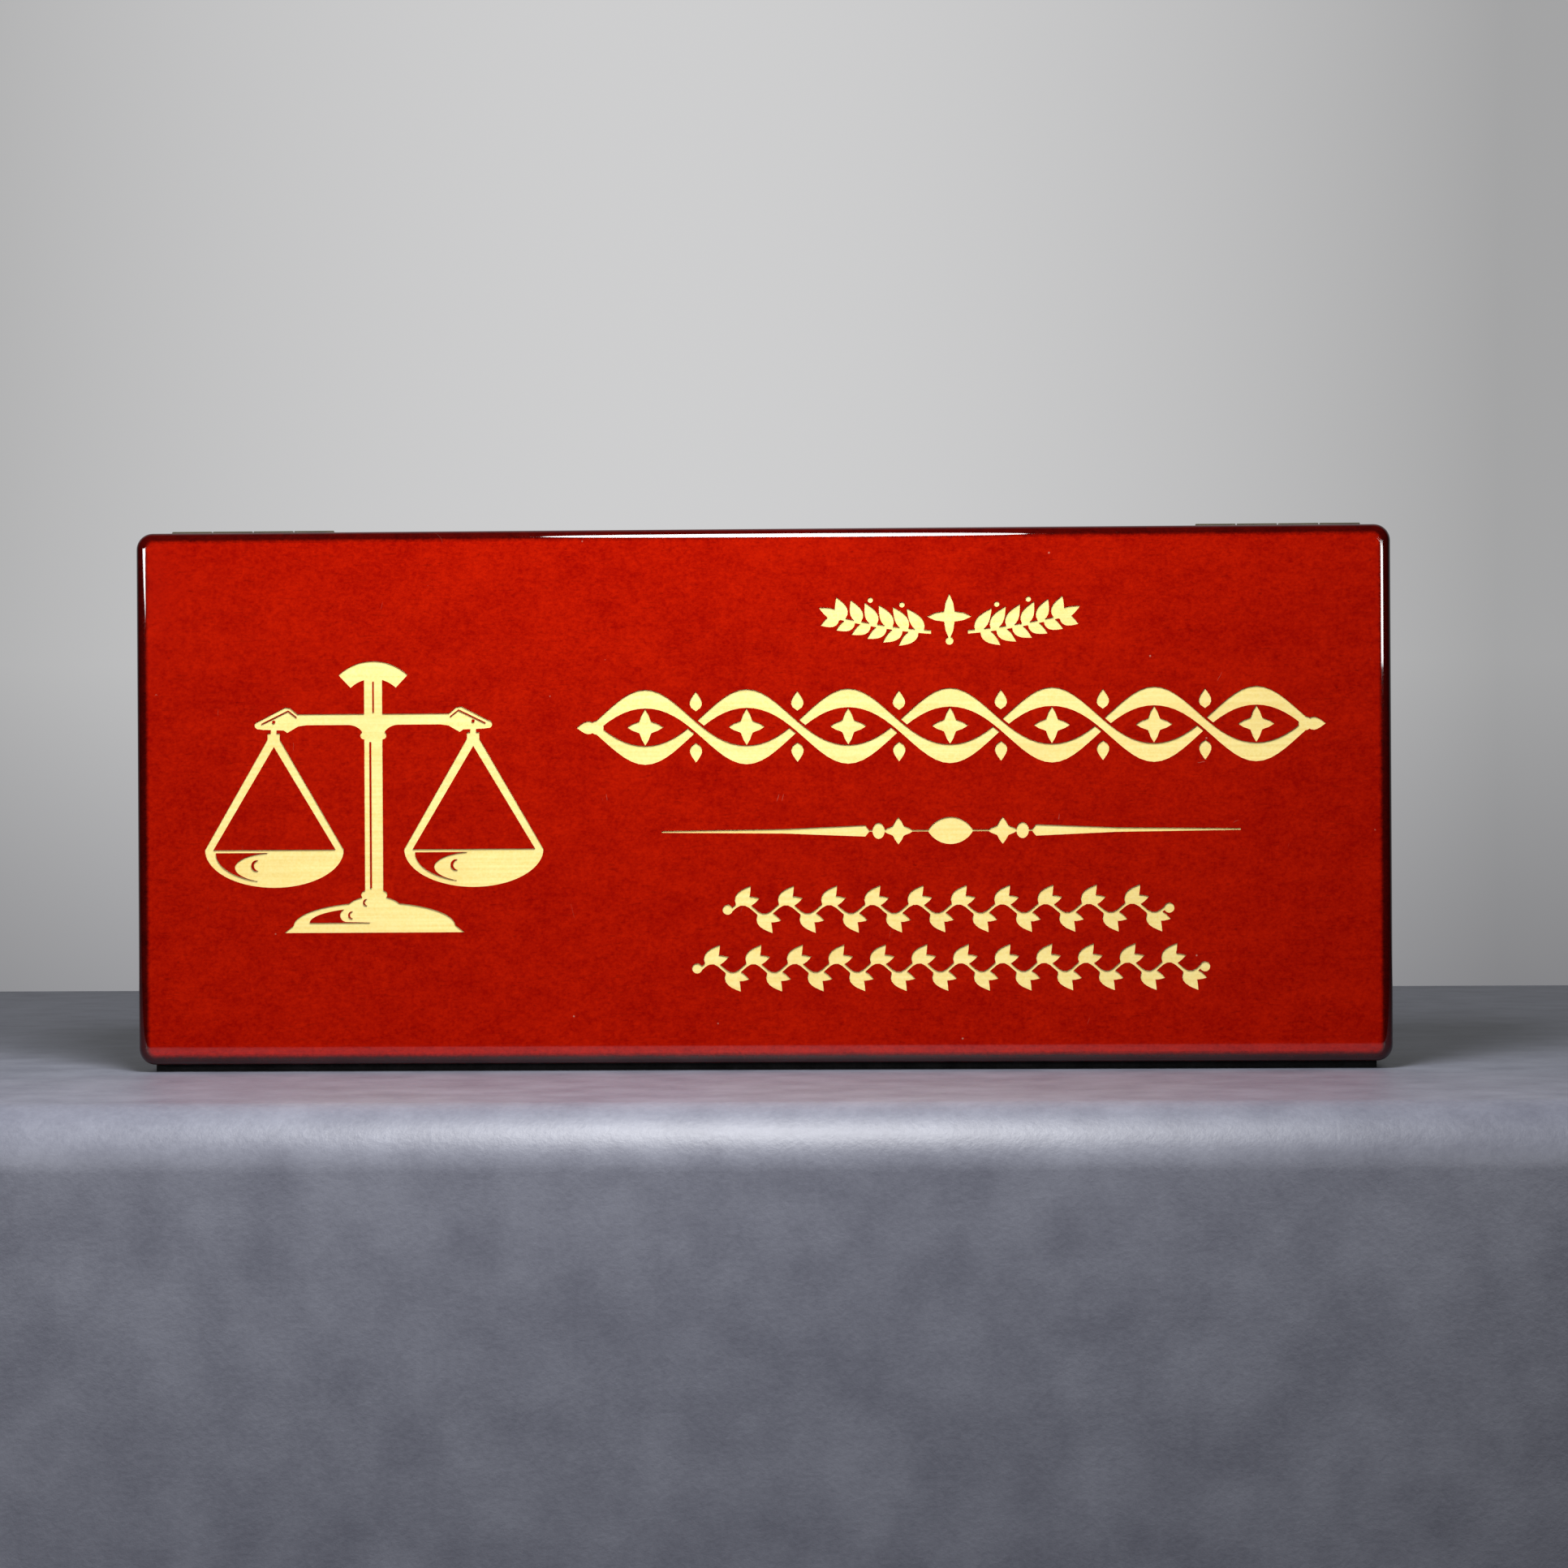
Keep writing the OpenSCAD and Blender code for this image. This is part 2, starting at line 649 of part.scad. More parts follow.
module felt_feet() color("#1c1c1c")
    for (x = [-1, 1], z = [-1, 1])
        translate([x * (case_w / 2 - foot_inset), y_back + foot_t, mid_z + z * (case_h / 2 - foot_inset)])
            rotate([90, 0, 0]) cylinder(r = foot_r, h = foot_t);

// ---------- what is drawn ----------

lid_board();
face_veneer();
lid_rail("top");  // lid_rail_top
lid_rail("bottom");  // lid_rail_bottom
lid_rail("left");  // lid_rail_left
lid_rail("right");  // lid_rail_right
scales_gold();
crest_gold();
band_gold();
divider_gold();
upper_vine_gold();
lower_vine_gold();
lid_lining("top");  // lid_lining_top
lid_lining("bottom");  // lid_lining_bottom
lid_lining("left");  // lid_lining_left
lid_lining("right");  // lid_lining_right
lid_pad();
magnets(y_lid_rim, -1);  // lid_magnets
base_board();
base_rail("top");  // base_rail_top
base_rail("bottom");  // base_rail_bottom
base_rail("left");  // base_rail_left
base_rail("right");  // base_rail_right
base_lining("top");  // base_lining_top
base_lining("bottom");  // base_lining_bottom
base_lining("left");  // base_lining_left
base_lining("right");  // base_lining_right
fitted_insert();
magnets(y_base_rim, 1);  // base_magnets
felt_feet();
color(brass) hinge_leaf(-hinge_x, 1, -1);  // left_hinge_lid_leaf
color(brass) hinge_leaf(-hinge_x, 0, 1);  // left_hinge_base_leaf
color(brass) hinge_pin(-hinge_x);  // left_hinge_pin
color(brass) hinge_leaf(hinge_x, 1, -1);  // right_hinge_lid_leaf
color(brass) hinge_leaf(hinge_x, 0, 1);  // right_hinge_base_leaf
color(brass) hinge_pin(hinge_x);  // right_hinge_pin
hinge_screws(y_lid_rim, -1);  // lid_hinge_screws
hinge_screws(y_base_rim, 1);  // base_hinge_screws
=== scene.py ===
"""Looks of a hinged presentation case whose lid is an engraved, gold-filled plaque.

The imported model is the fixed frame: metres, +X to the right, +Z up, the plaque facing -Y.
"""

import math

import bmesh
import bpy
from mathutils import Matrix, Vector


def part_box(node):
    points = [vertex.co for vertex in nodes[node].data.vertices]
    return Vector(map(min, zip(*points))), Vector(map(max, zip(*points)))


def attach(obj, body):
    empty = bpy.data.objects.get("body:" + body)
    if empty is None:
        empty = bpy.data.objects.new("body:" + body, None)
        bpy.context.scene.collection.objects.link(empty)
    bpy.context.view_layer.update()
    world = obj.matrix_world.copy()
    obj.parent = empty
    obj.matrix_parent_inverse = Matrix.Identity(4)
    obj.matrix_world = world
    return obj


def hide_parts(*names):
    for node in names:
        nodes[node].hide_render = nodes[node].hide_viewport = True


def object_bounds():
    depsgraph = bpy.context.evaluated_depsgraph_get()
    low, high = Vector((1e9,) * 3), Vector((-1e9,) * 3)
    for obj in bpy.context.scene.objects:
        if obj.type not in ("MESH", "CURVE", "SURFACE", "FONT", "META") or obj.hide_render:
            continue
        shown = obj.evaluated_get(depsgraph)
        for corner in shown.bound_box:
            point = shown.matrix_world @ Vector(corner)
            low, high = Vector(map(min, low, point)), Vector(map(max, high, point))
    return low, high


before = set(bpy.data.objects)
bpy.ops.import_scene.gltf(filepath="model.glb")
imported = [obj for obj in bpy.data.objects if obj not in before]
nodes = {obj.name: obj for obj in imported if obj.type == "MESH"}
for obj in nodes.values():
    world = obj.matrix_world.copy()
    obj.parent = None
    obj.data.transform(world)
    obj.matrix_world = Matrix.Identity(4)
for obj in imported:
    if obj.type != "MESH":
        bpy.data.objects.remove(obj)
cad_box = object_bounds()
bpy.ops.object.select_all(action="DESELECT")

MM = 0.001
NEAR = 0.02 * MM  # how close an edge or face has to lie to the plane that it is picked by

CORNER_R = 4.5 * MM  # the case's four corners, seen from the front
EDGE_R = 2.9 * MM  # round-over along the outer edges of both boards
VENEER_R = 4.0 * MM  # the veneer's corners
case_low, case_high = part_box("lid_board")
case_middle_z = (case_low.z + case_high.z) / 2


# ---------- bench helpers: add a primitive, pick its edges or faces, cut, join, finish ----------


def only(piece):
    """The piece alone is selected and active."""
    bpy.ops.object.select_all(action="DESELECT")
    piece.select_set(True)
    bpy.context.view_layer.objects.active = piece


def block(name, low, high):
    """A square-edged block between two corners."""
    low, high = Vector(low), Vector(high)
    bpy.ops.mesh.primitive_cube_add(size=1, location=(low + high) / 2)
    made = bpy.context.object
    made.name = name
    made.scale = high - low
    bpy.ops.object.transform_apply(location=True, rotation=True, scale=True)
    return made


def rod(name, start, end, radius, sides=48):
    """A straight rod between two points; give it a second radius and it tapers."""
    start, end = Vector(start), Vector(end)
    near_r, far_r = radius if isinstance(radius, tuple) else (radius, radius)
    bpy.ops.mesh.primitive_cone_add(
        vertices=sides, radius1=near_r, radius2=far_r, depth=(end - start).length, location=(start + end) / 2
    )
    made = bpy.context.object
    made.name = name
    made.rotation_euler = (end - start).to_track_quat("Z", "Y").to_euler()
    bpy.ops.object.transform_apply(location=True, rotation=True, scale=True)
    return made


def pick(piece, kind, test):
    """Edit mode with only those edges or faces selected whose middle and direction pass the test."""
    only(piece)
    bpy.ops.object.mode_set(mode="EDIT")
    bpy.ops.mesh.select_mode(type=kind)
    bpy.ops.mesh.select_all(action="DESELECT")
    mesh = bmesh.from_edit_mesh(piece.data)
    for part in mesh.edges if kind == "EDGE" else mesh.faces:
        if kind == "EDGE":
            one, other = (corner.co for corner in part.verts)
            middle, way = (one + other) / 2, (other - one).normalized()
        else:
            middle, way = part.calc_center_median(), part.normal
        if test(middle, way):
            part.select_set(True)
    bmesh.update_edit_mesh(piece.data)


def put_down():
    bpy.ops.object.mode_set(mode="OBJECT")


def round_edges(piece, radius, segments, test):
    """Rounds the edges that pass a test of their middle and direction."""
    pick(piece, "EDGE", test)
    bpy.ops.mesh.bevel(offset=radius, segments=segments, affect="EDGES")
    put_down()


def apply(piece, kind, **settings):
    """A modifier with its settings, applied."""
    only(piece)
    modifier = piece.modifiers.new("work", kind)
    for key, value in settings.items():
        setattr(modifier, key, value)
    bpy.ops.object.modifier_apply(modifier=modifier.name)


def cut_away(piece, *tools):
    """Cuts the shape of each tool out of a piece, and the tool is gone."""
    for tool in tools:
        apply(piece, "BOOLEAN", operation="DIFFERENCE", solver="EXACT", object=tool)
        bpy.data.objects.remove(tool, do_unlink=True)


def weld(piece, *others):
    """Welds other closed shapes to a piece."""
    for other in others:
        apply(piece, "BOOLEAN", operation="UNION", solver="EXACT", object=other)
        bpy.data.objects.remove(other, do_unlink=True)


def gather(name, pieces):
    """Separate solids as one piece."""
    only(pieces[0])
    for piece in pieces:
        piece.select_set(True)
    bpy.ops.object.join()
    made = bpy.context.object
    made.name = name
    return made


def copy_of(piece, name, move=(0, 0, 0)):
    """A copy with its own mesh, its place in the mesh."""
    made = piece.copy()
    made.data = piece.data.copy()
    made.name = name
    bpy.context.scene.collection.objects.link(made)
    made.data.transform(Matrix.Translation(Vector(move)))
    return made


def smooth(piece, degrees=35):
    """Smooth shading over rounded edges, flat faces kept even."""
    only(piece)
    bpy.ops.object.shade_smooth_by_angle(angle=math.radians(degrees))
    apply(piece, "WEIGHTED_NORMAL", keep_sharp=True)


def deliver(piece, material, body, slot, *cad_nodes):
    """A finished piece gets its finish, rides on its body and stands for its CAD nodes."""
    piece.data.materials.clear()
    piece.data.materials.append(material)
    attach(piece, body)
    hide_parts(*cad_nodes)
    return piece


# ---------- shader helpers ----------


def add(tree, kind, inputs=None, **settings):
    """A shader node with its settings; inputs are numbers, colours or sockets to link from."""
    node = tree.nodes.new(kind)
    for name, value in settings.items():
        setattr(node, name, value)
    for key, value in (inputs or {}).items():
        if isinstance(value, bpy.types.NodeSocket):
            tree.links.new(value, node.inputs[key])
        else:
            node.inputs[key].default_value = value
    return node


def calc(tree, operation, a, b=None, clamp=False):
    """A Math node's result."""
    inputs = {0: a}
    if b is not None:
        inputs[1] = b
    return add(tree, "ShaderNodeMath", inputs, operation=operation, use_clamp=clamp).outputs[0]


def ramp(tree, value, low, high, to_low=0.0, to_high=1.0, soft=False):
    """A value's share of the way from low to high, held at the ends."""
    inputs = {"Value": value, "From Min": low, "From Max": high, "To Min": to_low, "To Max": to_high}
    kind = "SMOOTHSTEP" if soft else "LINEAR"
    return add(tree, "ShaderNodeMapRange", inputs, clamp=True, interpolation_type=kind).outputs[0]


def blend_colour(tree, share, a, b):
    """Colour a at share 0 and colour b at share 1."""
    node = add(tree, "ShaderNodeMix", data_type="RGBA")
    for key, value in (("Factor", share), ("A", a), ("B", b)):
        socket = next(s for s in node.inputs if s.name == key and s.enabled)
        if isinstance(value, bpy.types.NodeSocket):
            tree.links.new(value, socket)
        else:
            socket.default_value = value
    return next(s for s in node.outputs if s.enabled)


def noise(tree, vector, scale, detail=2.0, roughness=0.5, stretch=None):
    """Cloudy noise from 0 to 1; stretch below 1 draws it out along that axis."""
    if stretch:
        vector = add(tree, "ShaderNodeVectorMath", {0: vector, 1: stretch}, operation="MULTIPLY").outputs[0]
    inputs = {"Vector": vector, "Scale": scale, "Detail": detail, "Roughness": roughness}
    return add(tree, "ShaderNodeTexNoise", inputs).outputs["Fac"]


def group(name, inputs, outputs):
    """An empty shader group and its two end nodes. Inputs map a name to its kind and value."""
    tree = bpy.data.node_groups.new(name, "ShaderNodeTree")
    for key, (kind, value) in inputs.items():
        socket = tree.interface.new_socket(key, in_out="INPUT", socket_type=kind)
        if value is not None:
            socket.default_value = value
    for key, kind in outputs.items():
        tree.interface.new_socket(key, in_out="OUTPUT", socket_type=kind)
    return tree, tree.nodes.new("NodeGroupInput").outputs, tree.nodes.new("NodeGroupOutput").inputs


def place(tree, shared, **values):
    """A shared group put into a material with its own values."""
    node = tree.nodes.new("ShaderNodeGroup")
    node.node_tree = shared
    for key, value in values.items():
        key = key.replace("_", " ").capitalize()
        if isinstance(value, bpy.types.NodeSocket):
            tree.links.new(value, node.inputs[key])
        else:
            node.inputs[key].default_value = value
    return node.outputs


def put(tree, socket, value):
    tree.links.new(value, socket)


FLOAT = "NodeSocketFloat"
VECTOR = "NodeSocketVector"


def make_wood_figure():
    """Close-grained veneer whose grain runs along X: cloud at every size, short dashes and pits."""
    tree, given, out = group(
        "Wood figure", {"Vector": (VECTOR, None)}, {"Cloud": FLOAT, "Dashes": FLOAT, "Pits": FLOAT}
    )
    at = given["Vector"]
    broad = noise(tree, at, 95.0, 2.0, 0.95, (0.62, 1, 1))
    fine = noise(tree, at, 700.0, 2.0, 1.0, (0.78, 1, 1))
    cloud = calc(tree, "ADD", calc(tree, "MULTIPLY", broad, 0.36), calc(tree, "MULTIPLY", fine, 0.64))
    put(tree, out["Cloud"], ramp(tree, cloud, 0.35, 0.65))
    dashes = noise(tree, at, 2100.0, 1.0, 0.5, (0.16, 1, 1))
    patches = ramp(tree, noise(tree, at, 120.0, 2.0), 0.35, 0.65, 0.35, 1.0)
    put(tree, out["Dashes"], calc(tree, "MULTIPLY", ramp(tree, dashes, 0.6, 0.74), patches))
    pits = noise(tree, at, 900.0, 0.0, 0.5, (0.6, 1, 1))
    put(tree, out["Pits"], ramp(tree, pits, 0.8, 0.84))
    return tree


def make_outline_distance():
    """How far in a point lies from an upright rounded outline in the XZ plane, in metres."""
    tree, given, out = group(
        "Distance from outline",
        {
            "Vector": (VECTOR, None),
            "Half width": (FLOAT, 0.1),
            "Half height": (FLOAT, 0.1),
            "Middle height": (FLOAT, 0.0),
            "Corner radius": (FLOAT, 0.01),
        },
        {"Distance": FLOAT},
    )
    parts = add(tree, "ShaderNodeSeparateXYZ", {0: given["Vector"]}).outputs
    radius = given["Corner radius"]
    across = calc(tree, "ABSOLUTE", parts["X"])
    up = calc(tree, "ABSOLUTE", calc(tree, "SUBTRACT", parts["Z"], given["Middle height"]))
    past_x = calc(tree, "SUBTRACT", across, calc(tree, "SUBTRACT", given["Half width"], radius))
    past_z = calc(tree, "SUBTRACT", up, calc(tree, "SUBTRACT", given["Half height"], radius))
    corner_x = calc(tree, "MAXIMUM", past_x, 0.0)
    corner_z = calc(tree, "MAXIMUM", past_z, 0.0)
    square_x = calc(tree, "MULTIPLY", corner_x, corner_x)
    square_z = calc(tree, "MULTIPLY", corner_z, corner_z)
    outside = calc(tree, "SQRT", calc(tree, "ADD", square_x, square_z))
    inside = calc(tree, "MINIMUM", calc(tree, "MAXIMUM", past_x, past_z), 0.0)
    beyond = calc(tree, "ADD", outside, inside)
    put(tree, out["Distance"], calc(tree, "SUBTRACT", radius, beyond))
    return tree


def make_lacquer_surface():
    """What thick polished lacquer shows: a slow waviness, hairlines and specks of dust."""
    tree, given, out = group(
        "Lacquer surface",
        {"Vector": (VECTOR, None), "Dust amount": (FLOAT, 0.5), "Hairline amount": (FLOAT, 0.5)},
        {"Height": FLOAT, "Dust": FLOAT, "Roughness": FLOAT},
    )
    at = given["Vector"]
    slow = noise(tree, at, 60.0, 1.0)
    peel = noise(tree, at, 420.0, 1.0)
    put(tree, out["Height"], calc(tree, "ADD", slow, calc(tree, "MULTIPLY", peel, 0.12)))
    cells = add(tree, "ShaderNodeTexVoronoi", {"Vector": at, "Scale": 330.0})
    near = ramp(tree, cells.outputs["Distance"], 0.04, 0.11, 1.0, 0.0)
    lottery = add(tree, "ShaderNodeSeparateColor", {"Color": cells.outputs["Color"]}).outputs[0]
    chosen = calc(tree, "LESS_THAN", lottery, calc(tree, "MULTIPLY", given["Dust amount"], 0.03))
    specks = calc(tree, "MULTIPLY", near, chosen)
    # A few short curled fibres lie on the film
    hair = noise(tree, at, 240.0, 0.0, 0.5, (1, 1, 0.5))
    line = ramp(tree, calc(tree, "ABSOLUTE", calc(tree, "SUBTRACT", hair, 0.5)), 0.0, 0.006, 1.0, 0.0)
    patch = ramp(tree, noise(tree, at, 130.0, 0.0), 0.78, 0.8)
    fibres = calc(tree, "MULTIPLY", calc(tree, "MULTIPLY", line, patch), given["Hairline amount"])
    dust = calc(tree, "MAXIMUM", specks, fibres)
    put(tree, out["Dust"], dust)
    put(tree, out["Roughness"], calc(tree, "MULTIPLY", dust, 0.5))
    return tree


def make_cloth_nap():
    """Short pile: brushed patches of light and dark, and a fine fibre height."""
    tree, given, out = group(
        "Cloth nap",
        {"Vector": (VECTOR, None), "Fibre scale": (FLOAT, 1500.0), "Patch scale": (FLOAT, 28.0)},
        {"Shade": FLOAT, "Height": FLOAT},
    )
    at = given["Vector"]
    patch = noise(tree, at, given["Patch scale"], 3.0, 0.55)
    fibre = noise(tree, at, given["Fibre scale"], 3.0, 0.7)
    shade = calc(tree, "ADD", calc(tree, "MULTIPLY", patch, 0.65), calc(tree, "MULTIPLY", fibre, 0.35))
    put(tree, out["Shade"], ramp(tree, shade, 0.35, 0.65))
    put(tree, out["Height"], fibre)
    return tree


def make_metal_wear():
    """Fine drawing lines along X and tarnish patches on a plated metal."""
    tree, given, out = group(
        "Metal wear",
        {"Vector": (VECTOR, None), "Line scale": (FLOAT, 2600.0)},
        {"Lines": FLOAT, "Tarnish": FLOAT},
    )
    at = given["Vector"]
    lines = noise(tree, at, given["Line scale"], 2.0, 0.6, (0.03, 1, 1))
    put(tree, out["Lines"], ramp(tree, lines, 0.3, 0.7))
    tarnish = noise(tree, at, 160.0, 5.0, 0.65)
    put(tree, out["Tarnish"], ramp(tree, tarnish, 0.42, 0.7))
    return tree


WOOD_FIGURE = make_wood_figure()
OUTLINE_DISTANCE = make_outline_distance()
LACQUER = make_lacquer_surface()
NAP = make_cloth_nap()
METAL_WEAR = make_metal_wear()


# ---------- finishes ----------


def new_material(name, **shader_values):
    """A material with its Principled shader, the constants set on the shader's own sockets."""
    material = bpy.data.materials.new(name)
    material.use_nodes = True
    tree = material.node_tree
    shader = tree.nodes["Principled BSDF"]
    for key, value in shader_values.items():
        shader.inputs[key.replace("_", " ")].default_value = value
    at = add(tree, "ShaderNodeTexCoord").outputs["Object"]
    return material, tree, shader.inputs, at


def bump(tree, sockets, height, depth, strength=1.0):
    made = add(tree, "ShaderNodeBump", {"Height": height, "Distance": depth, "Strength": strength})
    put(tree, sockets["Normal"], made.outputs["Normal"])


def turned(tree, at, rotation):
    """The pattern's coordinates turned, so that its X runs another way on the piece."""
    return add(tree, "ShaderNodeMapping", {"Vector": at, "Rotation": rotation}).outputs[0]


RED_DARK = (0.265, 0.0024, 0.0004, 1)
RED_LIGHT = (0.415, 0.0082, 0.0007, 1)
EDGE_DARK = (0.034, 0.0008, 0.0006, 1)
EDGE_LIGHT = (0.062, 0.0016, 0.0009, 1)
PORE = (0.12, 0.0012, 0.0006, 1)
EDGE_PORE = (0.012, 0.0006, 0.0005, 1)
DUST = (0.62, 0.34, 0.24, 1)


def lacquered_wood(name, red_middle, along_z=False, dust=0.5):
    """Stained wood under clear gloss lacquer; the red middle of the face fades into the dark edge stain."""
    material, tree, sockets, at = new_material(
        name, Roughness=0.6, Specular_IOR_Level=0.0, Coat_Weight=1.0, Coat_Roughness=0.03, Coat_IOR=1.58
    )
    grain_at = turned(tree, at, (0, math.pi / 2, 0)) if along_z else at
    wood = place(tree, WOOD_FIGURE, vector=grain_at)
    film = place(tree, LACQUER, vector=at, dust_amount=dust, hairline_amount=dust)
    colour = blend_colour(tree, wood["Cloud"], EDGE_DARK, EDGE_LIGHT)
    colour = blend_colour(tree, calc(tree, "MULTIPLY", wood["Dashes"], 0.6), colour, EDGE_PORE)
    if red_middle:
        red = blend_colour(tree, wood["Cloud"], RED_DARK, RED_LIGHT)
        red = blend_colour(tree, calc(tree, "MULTIPLY", wood["Dashes"], 0.32), red, PORE)
        red = blend_colour(tree, calc(tree, "MULTIPLY", wood["Pits"], 0.35), red, PORE)
        inward = place(
            tree, OUTLINE_DISTANCE, vector=at, half_width=case_high.x - 0.6 * MM, half_height=case_middle_z,
            middle_height=case_middle_z, corner_radius=CORNER_R,
        )["Distance"]
        ragged = calc(tree, "MULTIPLY", calc(tree, "SUBTRACT", wood["Cloud"], 0.5), 0.2 * MM)
        share = ramp(tree, calc(tree, "ADD", inward, ragged), 1.8 * MM, 3.3 * MM, soft=True)
        colour = blend_colour(tree, share, colour, red)
    colour = blend_colour(tree, calc(tree, "MULTIPLY", film["Dust"], 0.45), colour, DUST)
    put(tree, sockets["Base Color"], colour)
    put(tree, sockets["Roughness"], calc(tree, "ADD", film["Roughness"], 0.5, clamp=True))
    bump(tree, sockets, film["Height"], 0.000003)
    return material


def gold_colour_fill():
    """Matt gold colour that still shows the passes of the engraving tool as fine level lines."""
    material, tree, sockets, at = new_material("gold_colour_fill", Roughness=0.55, Specular_IOR_Level=0.35)
    passes = ramp(tree, noise(tree, at, 1500.0, 1.0, 0.5, (0.02, 1, 1)), 0.3, 0.7)
    grit = ramp(tree, noise(tree, at, 1500.0, 3.0, 0.7), 0.35, 0.7)
    patch = ramp(tree, noise(tree, at, 60.0, 3.0, 0.6, (0.5, 1, 1)), 0.45, 0.7)
    colour = blend_colour(tree, passes, (0.86, 0.66, 0.19, 1), (0.93, 0.76, 0.27, 1))
    colour = blend_colour(tree, calc(tree, "MULTIPLY", grit, 0.45), colour, (0.97, 0.86, 0.42, 1))
    colour = blend_colour(tree, calc(tree, "MULTIPLY", patch, 0.32), colour, (0.74, 0.52, 0.16, 1))
    put(tree, sockets["Base Color"], colour)
    height = calc(tree, "ADD", passes, calc(tree, "MULTIPLY", grit, 0.5))
    bump(tree, sockets, height, 0.00002, 0.6)
    put(tree, sockets["Roughness"], ramp(tree, grit, 0.0, 1.0, 0.45, 0.62))
    return material


def plated(name, colour, tarnish_colour, rough):
    """Plated metal with drawing lines and patches of tarnish."""
    material, tree, sockets, at = new_material(name, Metallic=1.0)
    wear = place(tree, METAL_WEAR, vector=at)
    shade = blend_colour(tree, calc(tree, "MULTIPLY", wear["Tarnish"], 0.7), colour, tarnish_colour)
    put(tree, sockets["Base Color"], shade)
    lines = calc(tree, "MULTIPLY", wear["Lines"], 0.12)
    rough_at = calc(tree, "ADD", lines, calc(tree, "MULTIPLY", wear["Tarnish"], 0.2))
    put(tree, sockets["Roughness"], calc(tree, "ADD", rough_at, rough))
    bump(tree, sockets, wear["Lines"], 0.000004)
    return material


def napped(name, dark, light, sheen, fibre_scale, patch_scale, depth):
    """Velvet or felt: dark in its depth, with a soft light sheen at its rim."""
    material, tree, sockets, at = new_material(
        name, Roughness=0.95, Specular_IOR_Level=0.1, Sheen_Weight=sheen, Sheen_Roughness=0.3,
        Sheen_Tint=(0.3, 0.28, 0.31, 1),
    )
    nap = place(tree, NAP, vector=at, fibre_scale=fibre_scale, patch_scale=patch_scale)
    put(tree, sockets["Base Color"], blend_colour(tree, nap["Shade"], dark, light))
    put(tree, sockets["Roughness"], ramp(tree, nap["Shade"], 0.0, 1.0, 0.85, 1.0))
    bump(tree, sockets, nap["Height"], depth)
    return material


face_wood = lacquered_wood("red_rosewood_veneer", red_middle=True)
fading_edge = lacquered_wood("fading_edge_stain", red_middle=True, dust=0.3)
edge_wood = lacquered_wood("dark_edge_stain", red_middle=False, dust=0.3)
edge_wood_upright = lacquered_wood("dark_edge_stain_upright", red_middle=False, along_z=True, dust=0.3)
gold = gold_colour_fill()
brass = plated("hinge_brass", (0.40, 0.34, 0.21, 1), (0.17, 0.14, 0.08, 1), 0.3)
nickel = plated("magnet_nickel", (0.72, 0.72, 0.7, 1), (0.45, 0.44, 0.42, 1), 0.12)
velvet = napped(
    "black_velvet", (0.004, 0.0035, 0.0045, 1), (0.016, 0.014, 0.017, 1),
    sheen=0.3, fibre_scale=2200.0, patch_scale=45.0, depth=0.0003,
)
felt = napped(
    "black_felt", (0.008, 0.008, 0.008, 1), (0.03, 0.03, 0.031, 1),
    sheen=0.15, fibre_scale=900.0, patch_scale=120.0, depth=0.0003,
)

nodes["face_veneer"].data.materials.clear()
nodes["face_veneer"].data.materials.append(face_wood)
for engraving in ("scales", "crest", "band", "divider", "upper_vine", "lower_vine"):
    nodes[f"{engraving}_gold"].data.materials.clear()
    nodes[f"{engraving}_gold"].data.materials.append(gold)


# ---------- wooden case ----------


def rounded_block(name, low, high, radius, segments=10):
    """A block whose four edges along Y are rounded."""
    made = block(name, low, high)
    round_edges(made, radius, segments, lambda middle, way: abs(way.y) > 0.9)
    return made


def board(name, node, face_y):
    """A board with rounded corners and a full round-over along the outline of its outer face."""
    low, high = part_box(node)
    made = rounded_block(name, low, high, CORNER_R)
    round_edges(made, EDGE_R, 10, lambda middle, way: abs(middle.y - face_y) < NEAR)
    return made


def engraved_front():
    """The lid's board, let in for the veneer."""
    made = board("front_board", "lid_board", case_low.y)
    low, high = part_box("face_veneer")
    room = 0.02 * MM
    mouth = 1 * MM
    recess = rounded_block(
        "veneer_recess", low - Vector((room, mouth, room)), high + Vector((room, 0, room)), VENEER_R
    )
    cut_away(made, recess)
    smooth(made)
    deliver(made, fading_edge, "lid", "rosewood_edge", "lid_board")


def plain_back():
    made = board("back_board", "base_board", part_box("base_board")[1].y)
    smooth(made)
    deliver(made, edge_wood, "base", "rosewood_edge", "base_board")


PIN_LOW, PIN_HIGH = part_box("left_hinge_pin")
PIN_R = (PIN_HIGH.z - PIN_LOW.z) / 2
PIN_MIDDLE = (PIN_LOW + PIN_HIGH) / 2
HINGE_L = PIN_HIGH.x - PIN_LOW.x
HINGE_APART = -2 * PIN_MIDDLE.x  # from the middle of the left hinge to the middle of the right one
BARREL_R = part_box("left_hinge_lid_leaf")[1].z - PIN_MIDDLE.z
BARREL_ROOM = 0.3 * MM
LEAF_T = 1.2 * MM
LEAF_LOW_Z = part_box("left_hinge_lid_leaf")[0].z
SCREW_R = 0.9 * MM
SCREW_HEAD_R = 1.75 * MM
SCREW_HEAD_D = 1.0 * MM
SCREW_L = 8 * MM
SCREW_Z = case_high.z - 4.6 * MM
SCREW_SPREAD = HINGE_L / 2 - 7 * MM


def screw_places():
    """The (x, z) of the six screws in one rim."""
    return [
        (side * PIN_MIDDLE.x + k * SCREW_SPREAD, SCREW_Z) for side in (1, -1) for k in (-1, 0, 1)
    ]


